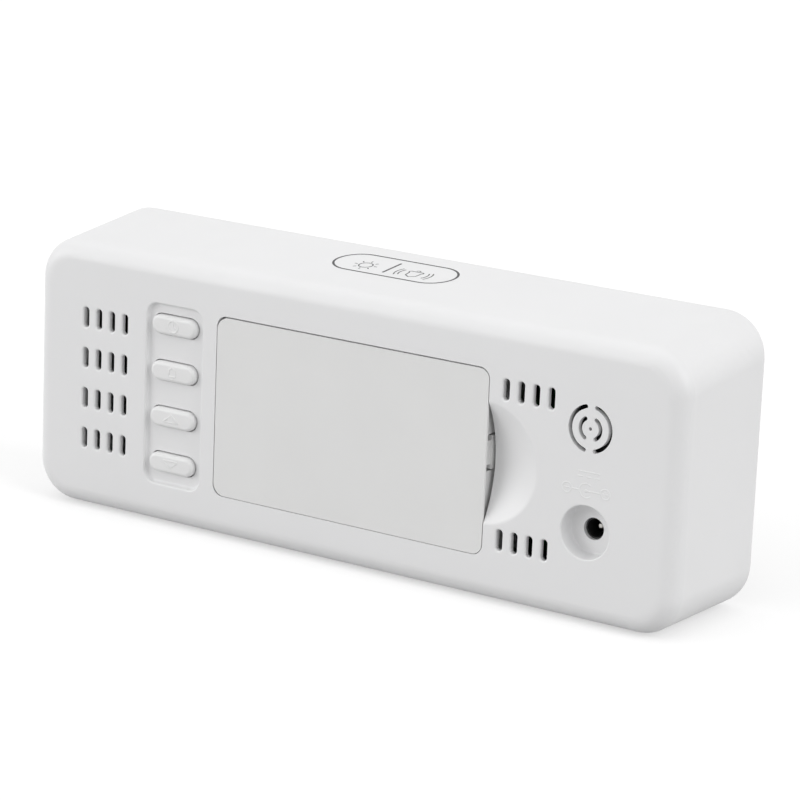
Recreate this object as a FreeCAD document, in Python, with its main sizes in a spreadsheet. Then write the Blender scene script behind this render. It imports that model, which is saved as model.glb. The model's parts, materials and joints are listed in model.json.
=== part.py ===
import FreeCAD, Part
import Sketcher
import math
import os
import re

# Bedside alarm clock in one tub-shaped housing, seen in the photograph from behind.
# Millimetres, +Z up, front (display) towards -Y, back (keys, battery door, socket) towards +Y.
# The origin is the middle of the footprint, on the surface that the feet stand on.

os.makedirs("parts", exist_ok=True)
doc = FreeCAD.newDocument("alarm_clock")
sheet = doc.addObject("Spreadsheet::Sheet", "Sizes")

# Driving dimensions: alias, millimetres, meaning
DIMENSIONS = [
    ("width_back", 153.1, "housing width at its back face"),
    ("width_front", 155.1, "housing width at its front edge"),
    ("depth", 31.8, "housing depth, front edge to back face"),
    ("base", 0.4, "height of the housing's underside above the ground"),
    ("top_back", 56.0, "height of the top at the back face"),
    ("top_front", 59.4, "height of the top at the front edge"),
    ("corner_radius", 8.75, "long edges of the housing"),
    ("back_round", 4.0, "rounding round the back face"),
    ("front_round", 3.5, "rounding round the front edge"),
    ("wall", 2.2, "housing wall"),
    ("rim_round", 0.42, "soft rim of slots and windows"),
    ("door_middle_x", -2.0, "middle of the battery door"),
    ("door_middle_z", 28.03, "middle of the battery door"),
    ("door_width", 64.2, "battery door along X"),
    ("door_height", 37.0, "battery door along Z"),
    ("door_thick", 1.8, "battery door plate"),
    ("door_corner", 2.1, "battery door corners"),
    ("door_hinge_corner", 2.6, "battery door corners beside the hooks"),
    ("door_gap", 0.2, "gap round the battery door"),
    ("door_drop", 0.08, "the door sits this far below the middle of its seat"),
    ("cell_diameter", 10.5, "AAA cell"),
    ("cell_length", 44.5, "AAA cell"),
    ("cell_pitch", 10.9, "from one cell to the next"),
    ("cell_spare", 7.5, "room for the contacts at the two ends of a cell"),
    ("cell_shift", 0.0, "cell room's middle from the door's middle"),
    ("cell_play", 0.3, "play above and below the row of cells"),
    ("bay_floor", 1.5, "floor of the battery bay"),
    ("bay_side", 1.2, "bay walls outside the door's outline"),
    ("bay_hook_side", 3.2, "bay wall on the hooks' side"),
    ("latch_room_length", 5.0, "room behind the door's latch flank, along X"),
    ("latch_room_height", 30.0, "the same along Z"),
    ("latch_room_depth", 10.5, "the same from the back face inwards"),
    ("door_lip", 0.55, "door's end above the latch flank, where the plate is undercut"),
    ("flank_setback", 0.8, "latch flank in from the door's end"),
    ("flank_thick", 1.2, "latch flank"),
    ("flank_height", 28.0, "latch flank along Z"),
    ("flank_depth", 7.4, "latch flank's reach from the back face"),
    ("tongue_z", 29.4, "middle of the latch tongue"),
    ("tongue_width", 7.4, "latch tongue with the slits beside it"),
    ("tongue_rise", 0.4, "latch tongue's face proud of the flank"),
    ("tongue_slot", 1.3, "square slots in the tongue's root corners"),
    ("tongue_slot_start", 1.4, "the same, their near end in from the back face"),
    ("tongue_slot_end", 3.1, "the same, their far end in from the back face"),
    ("tongue_slit", 0.35, "slits beside the tongue"),
    ("nib_height", 0.2, "latch nib's rise from the tongue"),
    ("nib_thick", 1.1, "latch nib"),
    ("hook_spacing", 22.0, "between the door's two hooks"),
    ("hook_width", 6.0, "door hook along Z"),
    ("hook_reach", 1.6, "door hook past the door's end"),
    ("hook_thick", 1.5, "door hook"),
    ("hook_web", 1.2, "door hook's web"),
    ("hook_room", 0.3, "clearance round a door hook"),
    ("hook_swing", 2.6, "room that a hook's web needs as the door swings"),
    ("dish_x", -33.5, "finger dish centre"),
    ("dish_radius", 12.1, "finger dish at the back face"),
    ("dish_depth", 3.45, "finger dish"),
    ("dish_back", 1.5, "wall behind the finger dish"),
    ("dish_rim", 1.5, "soft rim of the finger dish"),
    ("panel_x", 40.9, "middle of the key panel"),
    ("panel_width", 14.0, "key panel along X"),
    ("panel_height", 37.7, "key panel along Z"),
    ("panel_drop", 0.15, "middle of the key panel below the middle of the keys"),
    ("panel_depth", 1.05, "key panel recess"),
    ("panel_corner", 2.6, "key panel corners"),
    ("panel_floor_round", 0.6, "rounding between the panel's floor and its wall"),
    ("key_x", 41.1, "middle of the keys"),
    ("key_pitch", 9.65, "from one key to the next"),
    ("key_length", 11.2, "key cap along X"),
    ("key_height", 4.0, "key cap along Z"),
    ("key_rise", 1.25, "key cap above the panel floor"),
    ("key_gap", 0.22, "gap round a key"),
    ("key_edge", 0.8, "rounded edge of a key cap"),
    ("key_flange", 0.8, "key flange past the cap, all round"),
    ("key_flange_thick", 1.2, "key flange"),
    ("key_slack", 0.1, "key flange to wall"),
    ("key_stem_radius", 1.6, "key stem"),
    ("key_stem_length", 1.5, "key stem"),
    ("switch_side", 6.0, "switch case, square"),
    ("switch_case", 3.5, "switch case height"),
    ("switch_well", 1.4, "well in the switch case below its face"),
    ("plunger_radius", 1.7, "switch plunger"),
    ("plunger_rise", 1.5, "switch plunger above its case"),
    ("plunger_foot", 0.9, "switch plunger inside its case"),
    ("plunger_fit", 0.05, "running fit round the plunger"),
    ("board_thick", 1.2, "key board and power board"),
    ("board_clear", 0.8, "key board to the bay wall"),
    ("board_edge", 1.5, "key board past its posts"),
    ("key_board_height", 39.0, "key board along Z"),
    ("key_post_x", 50.4, "key board posts"),
    ("post_radius", 1.9, "small posts"),
    ("post_hole", 0.8, "pilot hole in a post"),
    ("screw_radius", 0.75, "small screw shank"),
    ("screw_length", 5.5, "small screw shank"),
    ("screw_head_radius", 1.7, "small screw head"),
    ("screw_head", 1.1, "small screw head height"),
    ("screw_slot", 0.5, "cross slots of a screw head"),
    ("vent_wall", 1.2, "housing wall where vents and grille go through"),
    ("vent_margin", 0.4, "thin wall round the vents"),
    ("vent_width", 1.4, "vent slot along X"),
    ("vent_height", 4.2, "vent slot along Z"),
    ("vent_pitch", 3.35, "vent slots along X"),
    ("vent_first_x", 63.67, "outermost slot of the vents beside the keys"),
    ("vent_top_z", 40.9, "top row of the vents beside the keys"),
    ("vent_row_pitch", 8.54, "rows of the vents beside the keys"),
    ("side_vent_x", -37.95, "first slot of the vents beside the finger dish"),
    ("side_vent_high_z", 43.13, "vents above the finger dish"),
    ("side_vent_low_z", 13.25, "vents below the finger dish"),
    ("sound_x", -56.8, "sounder and socket"),
    ("sound_z", 38.85, "sounder grille"),
    ("ring_radius", 4.78, "outer grille ring, outside"),
    ("ring_inner_radius", 2.6, "inner grille ring, outside"),
    ("ring_slot", 0.82, "grille slot width"),
    ("ring_bridge", 1.5, "bridges between the rounded ends of the grille slots"),
    ("ring_margin", 0.5, "thin wall round the outer ring"),
    ("dot_radius", 0.35, "grille centre hole"),
    ("sounder_radius", 6.0, "sounder"),
    ("sounder_back", 3.4, "sounder's face in from the back wall"),
    ("sounder_hole", 1.0, "sound hole in the sounder's face"),
    ("collar_gap", 0.3, "round the sounder"),
    ("collar_thick", 1.0, "sounder collar wall"),
    ("collar_length", 5.0, "sounder collar"),
    ("jack_z", 18.53, "socket"),
    ("jack_dish_radius", 5.3, "socket recess at the back face"),
    ("jack_dish_draft", 0.25, "socket recess, its floor's radius less than at the back face"),
    ("jack_dish_depth", 3.5, "socket recess"),
    ("jack_dish_rim", 0.28, "soft rim of the socket recess"),
    ("jack_dish_floor", 0.4, "rounding between the recess floor and its wall"),
    ("jack_dish_wall", 1.5, "wall behind the socket recess"),
    ("jack_hole_radius", 2.2, "hole in the housing for the socket's nose"),
    ("jack_nose_gap", 0.1, "round the socket's nose"),
    ("jack_nose_back", 0.8, "socket's mouth below the recess floor"),
    ("jack_side", 9.0, "socket case, square"),
    ("jack_bore", 1.85, "bore of the socket"),
    ("jack_end", 1.4, "closed end of the socket case"),
    ("jack_pin_radius", 0.65, "centre pin of the socket"),
    ("jack_pin_back", 1.6, "centre pin's tip inside the mouth"),
    ("power_board_width", 18.0, "power board along X"),
    ("power_board_clear", 0.5, "power board to the corner columns, along Z"),
    ("header_room", 2.55, "between the main board and the power board"),
    ("power_post_z", 28.7, "power board posts"),
    ("power_post_spacing", 13.6, "between the power board posts"),
    ("lens_gap", 0.15, "gap round the front lens"),
    ("lens_set", 0.45, "lens face in from the front edge"),
    ("lens_thick", 2.0, "front lens"),
    ("tape_thick", 0.3, "adhesive frame behind the lens"),
    ("tape_width", 3.0, "adhesive frame behind the lens"),
    ("frame_gap", 0.3, "gap round the display frame"),
    ("frame_thick", 2.4, "display frame plate"),
    ("frame_wall", 1.8, "wall round the display panel"),
    ("display_z", 29.6, "middle of the display"),
    ("display_side", 5.0, "display panel's end to the middle of the board posts"),
    ("display_height", 42.0, "display panel along Z"),
    ("display_thick", 2.6, "display panel"),
    ("display_gap", 0.2, "round the display panel"),
    ("window_border", 3.0, "frame's window inside the display panel's edge"),
    ("guide_thick", 3.6, "light guide"),
    ("guide_end", 3.0, "light guide short of the display panel at each end"),
    ("guide_foot", 2.4, "light guide short of the display panel at the bottom"),
    ("strip_thick", 1.6, "connector strip along Z"),
    ("lamp_side", 2.6, "backlight lamp"),
    ("main_board_side", 1.5, "main board to the corner columns"),
    ("main_board_height", 46.0, "main board along Z"),
    ("main_board_thick", 1.6, "main board"),
    ("board_post_side", 4.5, "main board posts to the corner columns"),
    ("board_post_z", 18.0, "main board posts, from the display's middle"),
    ("column_side", 7.2, "corner columns in from the outside of the housing's narrow end"),
    ("column_low_z", 8.2, "lower corner columns"),
    ("column_high_z", 48.4, "upper corner columns"),
    ("column_radius", 3.0, "corner columns"),
    ("column_hole", 1.0, "pilot hole in a column"),
    ("column_screw_radius", 0.95, "corner screw shank"),
    ("column_screw_length", 8.0, "corner screw under its head"),
    ("column_head_radius", 2.0, "corner screw head"),
    ("column_head", 1.2, "corner screw head height"),
    ("chip_x", -14.0, "processor"),
    ("chip_radius", 6.0, "processor's resin dome"),
    ("chip_rise", 1.2, "processor's resin dome"),
    ("crystal_x", -41.0, "quartz crystal"),
    ("crystal_radius", 1.0, "quartz crystal"),
    ("crystal_length", 6.0, "quartz crystal"),
    ("capacitor_side", 7.0, "capacitor in from the main board's end"),
    ("capacitor_z", 19.0, "capacitor"),
    ("capacitor_radius", 2.5, "capacitor"),
    ("capacitor_height", 6.0, "capacitor"),
    ("header_pitch", 2.54, "pins of the board headers"),
    ("header_thick", 2.5, "header block"),
    ("key_header_x", 41.0, "header between key board and main board"),
    ("power_header_x", -52.0, "header between power board and main board"),
    ("power_header_z", 19.8, "the same"),
    ("touch_x", 0.4, "middle of the touch area"),
    ("touch_y", -2.2, "middle of the touch area"),
    ("touch_width", 25.0, "touch board along X"),
    ("touch_depth", 9.0, "touch board front to back"),
    ("touch_gap", 0.1, "adhesive between the touch board and the top"),
    ("touch_pin_spread", 12.0, "between the touch board's pins"),
    ("touch_pin_radius", 0.4, "touch board's pins"),
    ("touch_pin_lap", 3.0, "touch board's pins along the main board"),
    ("contact_thick", 0.4, "battery contact plates"),
    ("contact_height", 8.4, "battery contact plates, from the bay floor"),
    ("contact_width", 8.0, "battery contact plates along Z"),
    ("contact_tail", 2.0, "solder tail of a contact"),
    ("contact_slot", 0.2, "clearance round a solder tail"),
    ("button_radius", 2.2, "raised button on a contact plate"),
    ("button_rise", 0.6, "raised button on a contact plate"),
    ("spring_wire", 0.5, "battery spring wire"),
    ("spring_base", 3.3, "battery spring, large end"),
    ("spring_tip", 2.1, "battery spring, small end"),
    ("spring_length", 4.6, "battery spring"),
    ("foot_radius", 4.0, "rubber feet"),
    ("foot_thick", 1.0, "rubber feet"),
    ("foot_x", 60.0, "rubber feet"),
    ("foot_y", 6.5, "rubber feet"),
    ("foot_gap", 0.1, "round a foot in its well"),
    ("cut_over", 1.0, "cuts run this far past the faces that they open"),
    ("head_play", 0.2, "round a corner screw's head in its seat"),
    ("head_sink", 0.1, "corner screw's head below the frame's face"),
    ("screw_end", 0.5, "screw's end short of its pilot hole's end"),
]
CELLS_IN_ROW = 3
KEY_NAMES = ["key_time", "key_alarm", "key_up", "key_down"]
VENT_SLOTS = 4
VENT_ROWS = 4
SPRING_TURNS = 4
KEY_HEADER_PINS = 6
POWER_HEADER_PINS = 4

for row, (alias, value, meaning) in enumerate(DIMENSIONS, start=1):
    sheet.set("A%d" % row, meaning)
    sheet.set("B%d" % row, str(value))
    sheet.setAlias("B%d" % row, alias)
doc.recompute()

ALIASES = {alias for alias, value, meaning in DIMENSIONS}
WORD = re.compile(r"[A-Za-z_][A-Za-z_0-9]*")
PARTS = {}


def size(alias):
    return float(getattr(sheet, alias))


def number(text):
    """The value of a formula in the sheet's names, for the few shapes set in code."""
    names = {word: size(word) for word in WORD.findall(text) if word in ALIASES}
    for word in sorted(names, key=len, reverse=True):
        text = re.sub(r"\b%s\b" % word, repr(names[word]), text)
    probe = doc.addObject("App::FeaturePython", "probe")
    probe.addProperty("App::PropertyFloat", "Value")
    probe.setExpression("Value", text)
    probe.recompute()
    value = probe.Value
    doc.removeObject(probe.Name)
    return value


def bind(target, prop, text):
    """Ties a property to a formula in the sheet's names."""
    text = WORD.sub(lambda m: "Sizes." + m.group(0) if m.group(0) in ALIASES else m.group(0), str(text))
    target.setExpression(prop, text)
    return target


def place(target, x, y, z, axis=None, angle=0.0):
    if axis:
        target.Placement = FreeCAD.Placement(
            FreeCAD.Vector(), FreeCAD.Rotation(FreeCAD.Vector(*axis), angle)
        )
    bind(target, "Placement.Base.x", x)
    bind(target, "Placement.Base.y", y)
    bind(target, "Placement.Base.z", z)
    return target


def block(name, xs, ys, zs):
    """A box between two formulas along each axis."""
    item = doc.addObject("Part::Box", name)
    bind(item, "Length", "(%s) - (%s)" % (xs[1], xs[0]))
    bind(item, "Width", "(%s) - (%s)" % (ys[1], ys[0]))
    bind(item, "Height", "(%s) - (%s)" % (zs[1], zs[0]))
    return place(item, xs[0], ys[0], zs[0])


def middle(centre, length):
    """The two ends of a length about its middle."""
    return ("(%s) - (%s) / 2" % (centre, length), "(%s) + (%s) / 2" % (centre, length))


def rod(name, radius, x, ys, z):
    """A cylinder along Y."""
    item = doc.addObject("Part::Cylinder", name)
    bind(item, "Radius", radius)
    bind(item, "Height", "(%s) - (%s)" % (ys[1], ys[0]))
    return place(item, x, ys[0], z, (1, 0, 0), -90)


def upright(name, radius, x, y, zs):
    """A cylinder along Z."""
    item = doc.addObject("Part::Cylinder", name)
    bind(item, "Radius", radius)
    bind(item, "Height", "(%s) - (%s)" % (zs[1], zs[0]))
    return place(item, x, y, zs[0])


def lying(name, radius, xs, y, z):
    """A cylinder along X."""
    item = doc.addObject("Part::Cylinder", name)
    bind(item, "Radius", radius)
    bind(item, "Height", "(%s) - (%s)" % (xs[1], xs[0]))
    return place(item, xs[0], y, z, (0, 1, 0), 90)


def fuse(name, items):
    item = doc.addObject("Part::MultiFuse", name)
    item.Shapes = items
    return item


def cut(name, base, tools):
    item = doc.addObject("Part::Cut", name)
    item.Base = base
    item.Tool = tools[0] if len(tools) == 1 else fuse(name + "_tools", tools)
    return item


def pill(name, x, z, length, height, ys):
    """A round-ended bar across Y, longer along X."""
    straight = "((%s) - (%s))" % (length, height)
    core = block(name + "_core", middle(x, straight), ys, middle(z, height))
    ends = [
        rod(name + "_end", "(%s) / 2" % height, "(%s) %s %s / 2" % (x, sign, straight), ys, z)
        for sign in "-+"
    ]
    return fuse(name, [core] + ends)


def slot(name, x, z, width, height, ys):
    """A round-ended bar across Y, longer along Z."""
    straight = "((%s) - (%s))" % (height, width)
    core = block(name + "_core", middle(x, width), ys, middle(z, straight))
    ends = [
        rod(name + "_end", "(%s) / 2" % width, x, ys, "(%s) %s %s / 2" % (z, sign, straight))
        for sign in "-+"
    ]
    return fuse(name, [core] + ends)


def soften(name, base, radius, wanted):
    """Rounds the edges that the test accepts, by no more than the radius."""
    doc.recompute()
    item = doc.addObject("Part::Fillet", name)
    item.Base = base
    edges = [i for i, edge in enumerate(base.Shape.Edges, start=1) if wanted(edge)]
    item.Edges = [(i, radius, radius) for i in edges]
    return item


def runsAlong(axis):
    """Accepts straight edges in one direction."""
    direction = FreeCAD.Vector(*axis)

    def test(edge):
        if not isinstance(edge.Curve, Part.Line):
            return False
        return abs(edge.tangentAt(edge.FirstParameter).dot(direction)) > 0.999

    return test


def liesAt(y, low=None, high=None):
    """Accepts edges in the plane across Y, inside a rectangle of X and Z if one is given."""

    def test(edge):
        box = edge.BoundBox
        if abs(box.YMin - y) > 0.001 or abs(box.YMax - y) > 0.001:
            return False
        if low is None:
            return True
        inside = box.XMin > low[0] and box.XMax < high[0]
        return inside and box.ZMin > low[1] and box.ZMax < high[1]

    return test


def roundedBlock(name, xs, ys, zs, radius):
    """A box whose four edges along Y are rounded."""
    return soften(name, block(name + "_box", xs, ys, zs), number(radius), runsAlong((0, 1, 0)))


def keep(node, item):
    item.Label = node
    PARTS[node] = item
    return item


# Planes and outlines that several pieces share

BACK = "depth / 2"
FRONT = "-depth / 2"
INNER_BACK = "(depth / 2 - wall)"
THROUGH_BACK = ("depth / 2 - 3 * wall", "depth / 2 + cut_over")
OUTSIDE = "depth / 2 + cut_over"


def widthAt(y):
    return "(width_back + (width_front - width_back) * (depth / 2 - (%s)) / depth)" % y


def topAt(y):
    return "(top_back + (top_front - top_back) * (depth / 2 - (%s)) / depth)" % y


def profile(body, name, y, width, bottom, top):
    """A rectangle across Y, its middle on the axis of Z."""
    sketch = body.newObject("Sketcher::SketchObject", name)
    plane = [f for f in body.Origin.OriginFeatures if f.Role == "XZ_Plane"][0]
    sketch.AttachmentSupport = [(plane, "")]
    sketch.MapMode = "FlatFace"
    bind(sketch, "AttachmentOffset.Base.z", "-(%s)" % y)
    half, low, high = number(width) / 2, number(bottom), number(top)
    corners = [(half, low), (half, high), (-half, high), (-half, low)]
    sides = []
    for (x0, z0), (x1, z1) in zip(corners, corners[1:] + corners[:1]):
        line = Part.LineSegment(FreeCAD.Vector(x0, z0, 0), FreeCAD.Vector(x1, z1, 0))
        sides.append(sketch.addGeometry(line, False))
    right, upper, left, lower = sides
    for side, following in zip(sides, sides[1:] + sides[:1]):
        sketch.addConstraint(Sketcher.Constraint("Coincident", side, 2, following, 1))
    for kind, side in (("Vertical", right), ("Vertical", left), ("Horizontal", lower)):
        sketch.addConstraint(Sketcher.Constraint(kind, side))
    sketch.addConstraint(Sketcher.Constraint("Symmetric", upper, 1, upper, 2, -2))
    named = [
        ("width", Sketcher.Constraint("DistanceX", lower, 1, lower, 2, 2 * half), width),
        ("bottom", Sketcher.Constraint("DistanceY", -1, 1, lower, 1, low), bottom),
        ("top", Sketcher.Constraint("DistanceY", -1, 1, upper, 1, high), top),
    ]
    for label, constraint, text in named:
        index = sketch.addConstraint(constraint)
        sketch.renameConstraint(index, label)
        bind(sketch, "Constraints." + label, text)
    return sketch


def tubForm(name, inset, back, front, back_round, front_round):
    """The housing's outer form, or the same form drawn in by an inset, between two planes."""
    body = doc.addObject("PartDesign::Body", name)
    sketches = []
    for end, y in (("back", back), ("front", front)):
        width = "%s - 2 * (%s)" % (widthAt(y), inset)
        bottom = "base + (%s)" % inset
        top = "%s - (%s)" % (topAt(y), inset)
        sketches.append(profile(body, name + "_" + end, y, width, bottom, top))
    doc.recompute()
    loft = body.newObject("PartDesign::AdditiveLoft", name + "_loft")
    loft.Profile = sketches[0]
    loft.Sections = [sketches[1]]
    loft.Ruled = True
    doc.recompute()

    def runsBackToFront(edge):
        box = edge.BoundBox
        return box.YLength > number("depth") / 2

    roundings = [("long", runsBackToFront, "corner_radius - (%s)" % inset)]
    if back_round:
        roundings.append(("back", liesAt(number(back)), back_round))
    if front_round:
        roundings.append(("front", liesAt(number(front)), front_round))
    last = loft
    for label, test, radius in roundings:
        edges = ["Edge%d" % i for i, edge in enumerate(last.Shape.Edges, start=1) if test(edge)]
        rounding = body.newObject("PartDesign::Fillet", name + "_" + label + "_round")
        rounding.Base = (last, edges)
        bind(rounding, "Radius", radius)
        doc.recompute()
        last = rounding
    body.Tip = last
    return body


# Keys and cells from the top down

KEY_Z = ["door_middle_z + key_pitch * %s" % (1.5 - i) for i in range(len(KEY_NAMES))]
CELL_Z = ["door_middle_z + cell_pitch * %s" % ((CELLS_IN_ROW - 1) / 2 - i) for i in range(CELLS_IN_ROW)]

DOOR_X = middle("door_middle_x", "door_width")
DOOR_Z = middle("door_middle_z", "door_height")
DOOR_INNER = "(depth / 2 - door_thick)"
FLANK_FACE = "(%s + flank_setback)" % DOOR_X[0]
FLANK_BACK = "(%s + flank_thick)" % FLANK_FACE
FLANK_Z = middle("door_middle_z", "flank_height")
ROOM_X = middle("door_middle_x + cell_shift", "cell_length + cell_spare")
ROOM_Z = middle("door_middle_z", "cell_diameter + %d * cell_pitch + 2 * cell_play" % (CELLS_IN_ROW - 1))
ROOM_FLOOR = "(depth / 2 - door_thick - cell_diameter - 2 * cell_play)"
BAY_BOTTOM = "(%s - bay_floor)" % ROOM_FLOOR
DISH_BACK = "(depth / 2 - dish_depth - dish_back)"
JACK_FLOOR = "(depth / 2 - jack_dish_depth)"
JACK_FACE = "(%s - jack_dish_wall)" % JACK_FLOOR
JACK_MOUTH = "(%s - jack_nose_back)" % JACK_FLOOR
SOUNDER_FACE = "(%s - sounder_back)" % INNER_BACK
KEY_SEAT = "(%s - key_slack)" % INNER_BACK
STEM_END = "(%s - key_flange_thick - key_stem_length)" % KEY_SEAT
SWITCH_FACE = "(%s - plunger_rise)" % STEM_END
KEY_BOARD_FACE = "(%s - switch_case)" % SWITCH_FACE
LENS_FRONT = "(-depth / 2 + lens_set)"
LENS_BACK = "(%s + lens_thick)" % LENS_FRONT
FRAME_FRONT = "(%s + tape_thick)" % LENS_BACK
FRAME_BACK = "(%s + frame_thick)" % FRAME_FRONT
DISPLAY_BACK = "(%s + display_thick)" % FRAME_BACK
BOARD_FRONT = "(%s + guide_thick)" % DISPLAY_BACK
BOARD_BACK = "(%s + main_board_thick)" % BOARD_FRONT
POWER_FACE = "(%s + header_room + board_thick)" % BOARD_BACK
JACK_END = "(%s + jack_end)" % POWER_FACE

# Along X, from the housing's narrow end inwards: columns, main board, its posts, display
COLUMN_X = "(min(width_back; width_front) / 2 - column_side)"
MAIN_BOARD_X = "(%s - column_radius - main_board_side)" % COLUMN_X
BOARD_POST_X = "(%s - column_radius - board_post_side)" % COLUMN_X
DISPLAY_X = "(%s - display_side)" % BOARD_POST_X
COLUMNS = [(side + COLUMN_X, z) for side in ("-", "") for z in ("column_low_z", "column_high_z")]
KEY_POSTS = [("key_post_x", "door_middle_z %s key_pitch" % sign) for sign in "-+"]
POWER_POSTS = [("sound_x %s power_post_spacing / 2" % sign, "power_post_z") for sign in "-+"]
VENT_X = ["vent_first_x - %d * vent_pitch" % i for i in range(VENT_SLOTS)]
VENT_Z = ["vent_top_z - %d * vent_row_pitch" % j for j in range(VENT_ROWS)]
SIDE_VENT_X = ["side_vent_x - %d * vent_pitch" % i for i in range(VENT_SLOTS)]
VENT_FIELDS = [
    (VENT_X, VENT_Z),
    (SIDE_VENT_X, ["side_vent_high_z"]),
    (SIDE_VENT_X, ["side_vent_low_z"]),
]
PANEL_Z = "(door_middle_z - panel_drop)"
BOARD_POSTS = [
    (side + BOARD_POST_X, "display_z %s board_post_z" % sign) for side in ("-", "") for sign in "-+"
]
FEET = [(sx + "foot_x", sy + "foot_y") for sx in ("-", "") for sy in ("-", "")]


def doorSeat():
    """The opening that the battery door fills, wider than the door by the gap on every side."""
    return roundedBlock(
        "door_seat",
        ("%s - door_gap" % DOOR_X[0], "%s + door_gap" % DOOR_X[1]),
        (DOOR_INNER, OUTSIDE),
        ("%s - door_gap" % DOOR_Z[0], "%s + door_gap" % DOOR_Z[1]),
        "door_corner + door_gap",
    )


def makeHousing():
    """The tub: back, top, ends and underside in one moulding, open at the front."""
    outer = tubForm("outer", "0", BACK, FRONT, "back_round", "front_round")
    cavity = tubForm("cavity", "wall", INNER_BACK, "-depth / 2 - cut_over", "back_round - wall", None)
    thin = [thinWall(columns, rows) for columns, rows in VENT_FIELDS]
    shell = cut("shell", outer, [cavity] + thin)
    into_wall = "depth / 2 - wall / 2"
    added = [
        shell,
        block(
            "bay_block",
            ("%s - door_gap - bay_side" % DOOR_X[0], "%s + door_gap + bay_hook_side" % DOOR_X[1]),
            (BAY_BOTTOM, into_wall),
            ("%s - door_gap - bay_side" % DOOR_Z[0], "%s + door_gap + bay_side" % DOOR_Z[1]),
        ),
        rod("dish_boss", "dish_radius + dish_back", "dish_x", (DISH_BACK, into_wall), "door_middle_z"),
        rod("jack_boss", "jack_dish_radius + jack_dish_wall", "sound_x", (JACK_FACE, into_wall), "jack_z"),
        rod(
            "collar",
            "sounder_radius + collar_gap + collar_thick",
            "sound_x",
            ("%s - collar_length" % INNER_BACK, into_wall),
            "sound_z",
        ),
    ]
    for x, z in COLUMNS:
        added.append(rod("column", "column_radius", x, (FRAME_BACK, into_wall), z))
    for x, z in KEY_POSTS:
        added.append(rod("key_post", "post_radius", x, (KEY_BOARD_FACE, into_wall), z))
    for x, z in POWER_POSTS:
        added.append(rod("power_post", "post_radius", x, (POWER_FACE, into_wall), z))

    removed = [
        doorSeat(),
        block("cell_room", ROOM_X, (ROOM_FLOOR, BACK), ROOM_Z),
        block(
            "latch_room",
            ("%s - door_gap" % DOOR_X[0], "%s - door_gap + latch_room_length" % DOOR_X[0]),
            ("depth / 2 - latch_room_depth", BACK),
            middle("door_middle_z", "latch_room_height"),
        ),
        rod(
            "collar_bore",
            "sounder_radius + collar_gap",
            "sound_x",
            ("%s - 2 * collar_length" % INNER_BACK, INNER_BACK),
            "sound_z",
        ),
        rod("jack_hole", "jack_hole_radius", "sound_x", ("%s - cut_over" % JACK_FACE, BACK), "jack_z"),
        rod(
            "grille_pocket",
            "ring_radius + ring_margin",
            "sound_x",
            ("%s - cut_over" % INNER_BACK, "depth / 2 - vent_wall"),
            "sound_z",
        ),
    ]
    panel_floor = "depth / 2 - panel_depth"
    panel = roundedBlock(
        "panel",
        middle("panel_x", "panel_width"),
        (panel_floor, OUTSIDE),
        middle(PANEL_Z, "panel_height"),
        "panel_corner",
    )
    removed.append(
        soften("panel_recess", panel, size("panel_floor_round"), liesAt(number(panel_floor)))
    )
    removed.append(jackRecess())
    removed.append(dishForm())
    for sign in "-+":
        z = "door_middle_z %s hook_spacing / 2" % sign
        removed.append(
            block(
                "hook_room",
                ("%s - hook_web - hook_swing" % DOOR_X[1], "%s + hook_reach + hook_room" % DOOR_X[1]),
                ("%s - hook_thick - 3 * hook_room" % INNER_BACK, DOOR_INNER),
                middle(z, "hook_width + 2 * hook_room"),
            )
        )
        removed.append(
            block(
                "hook_way",
                ("%s - hook_web - hook_swing" % DOOR_X[1], "%s + door_gap" % DOOR_X[1]),
                ("%s - hook_thick" % INNER_BACK, BACK),
                middle(z, "hook_width + 2 * hook_room"),
            )
        )
    for z in KEY_Z:
        removed.append(
            pill(
                "key_window",
                "key_x",
                z,
                "key_length + 2 * key_gap",
                "key_height + 2 * key_gap",
                THROUGH_BACK,
            )
        )
    for columns, rows in VENT_FIELDS:
        for x in columns:
            for z in rows:
                removed.append(slot("vent", x, z, "vent_width", "vent_height", THROUGH_BACK))
    removed.append(ringSlots("outer_ring", "ring_radius"))
    removed.append(ringSlots("inner_ring", "ring_inner_radius"))
    removed.append(rod("dot", "dot_radius", "sound_x", THROUGH_BACK, "sound_z"))
    for x, z in COLUMNS:
        reach = "%s + column_screw_length" % FRAME_BACK
        removed.append(rod("column_hole", "column_hole", x, ("%s - cut_over" % FRAME_BACK, reach), z))
    for x, z in KEY_POSTS:
        reach = "%s + screw_length" % KEY_BOARD_FACE
        removed.append(rod("key_post_hole", "post_hole", x, ("%s - cut_over" % KEY_BOARD_FACE, reach), z))
    for x, z in POWER_POSTS:
        reach = "%s + screw_length" % POWER_FACE
        removed.append(rod("power_post_hole", "post_hole", x, ("%s - cut_over" % POWER_FACE, reach), z))
    for x, y in FEET:
        well_z = ("base - cut_over", "foot_thick")
        removed.append(upright("foot_well", "foot_radius + foot_gap", x, y, well_z))
    for x, z, side in CONTACTS:
        removed.append(tailSlot(x, z, side))

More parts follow.
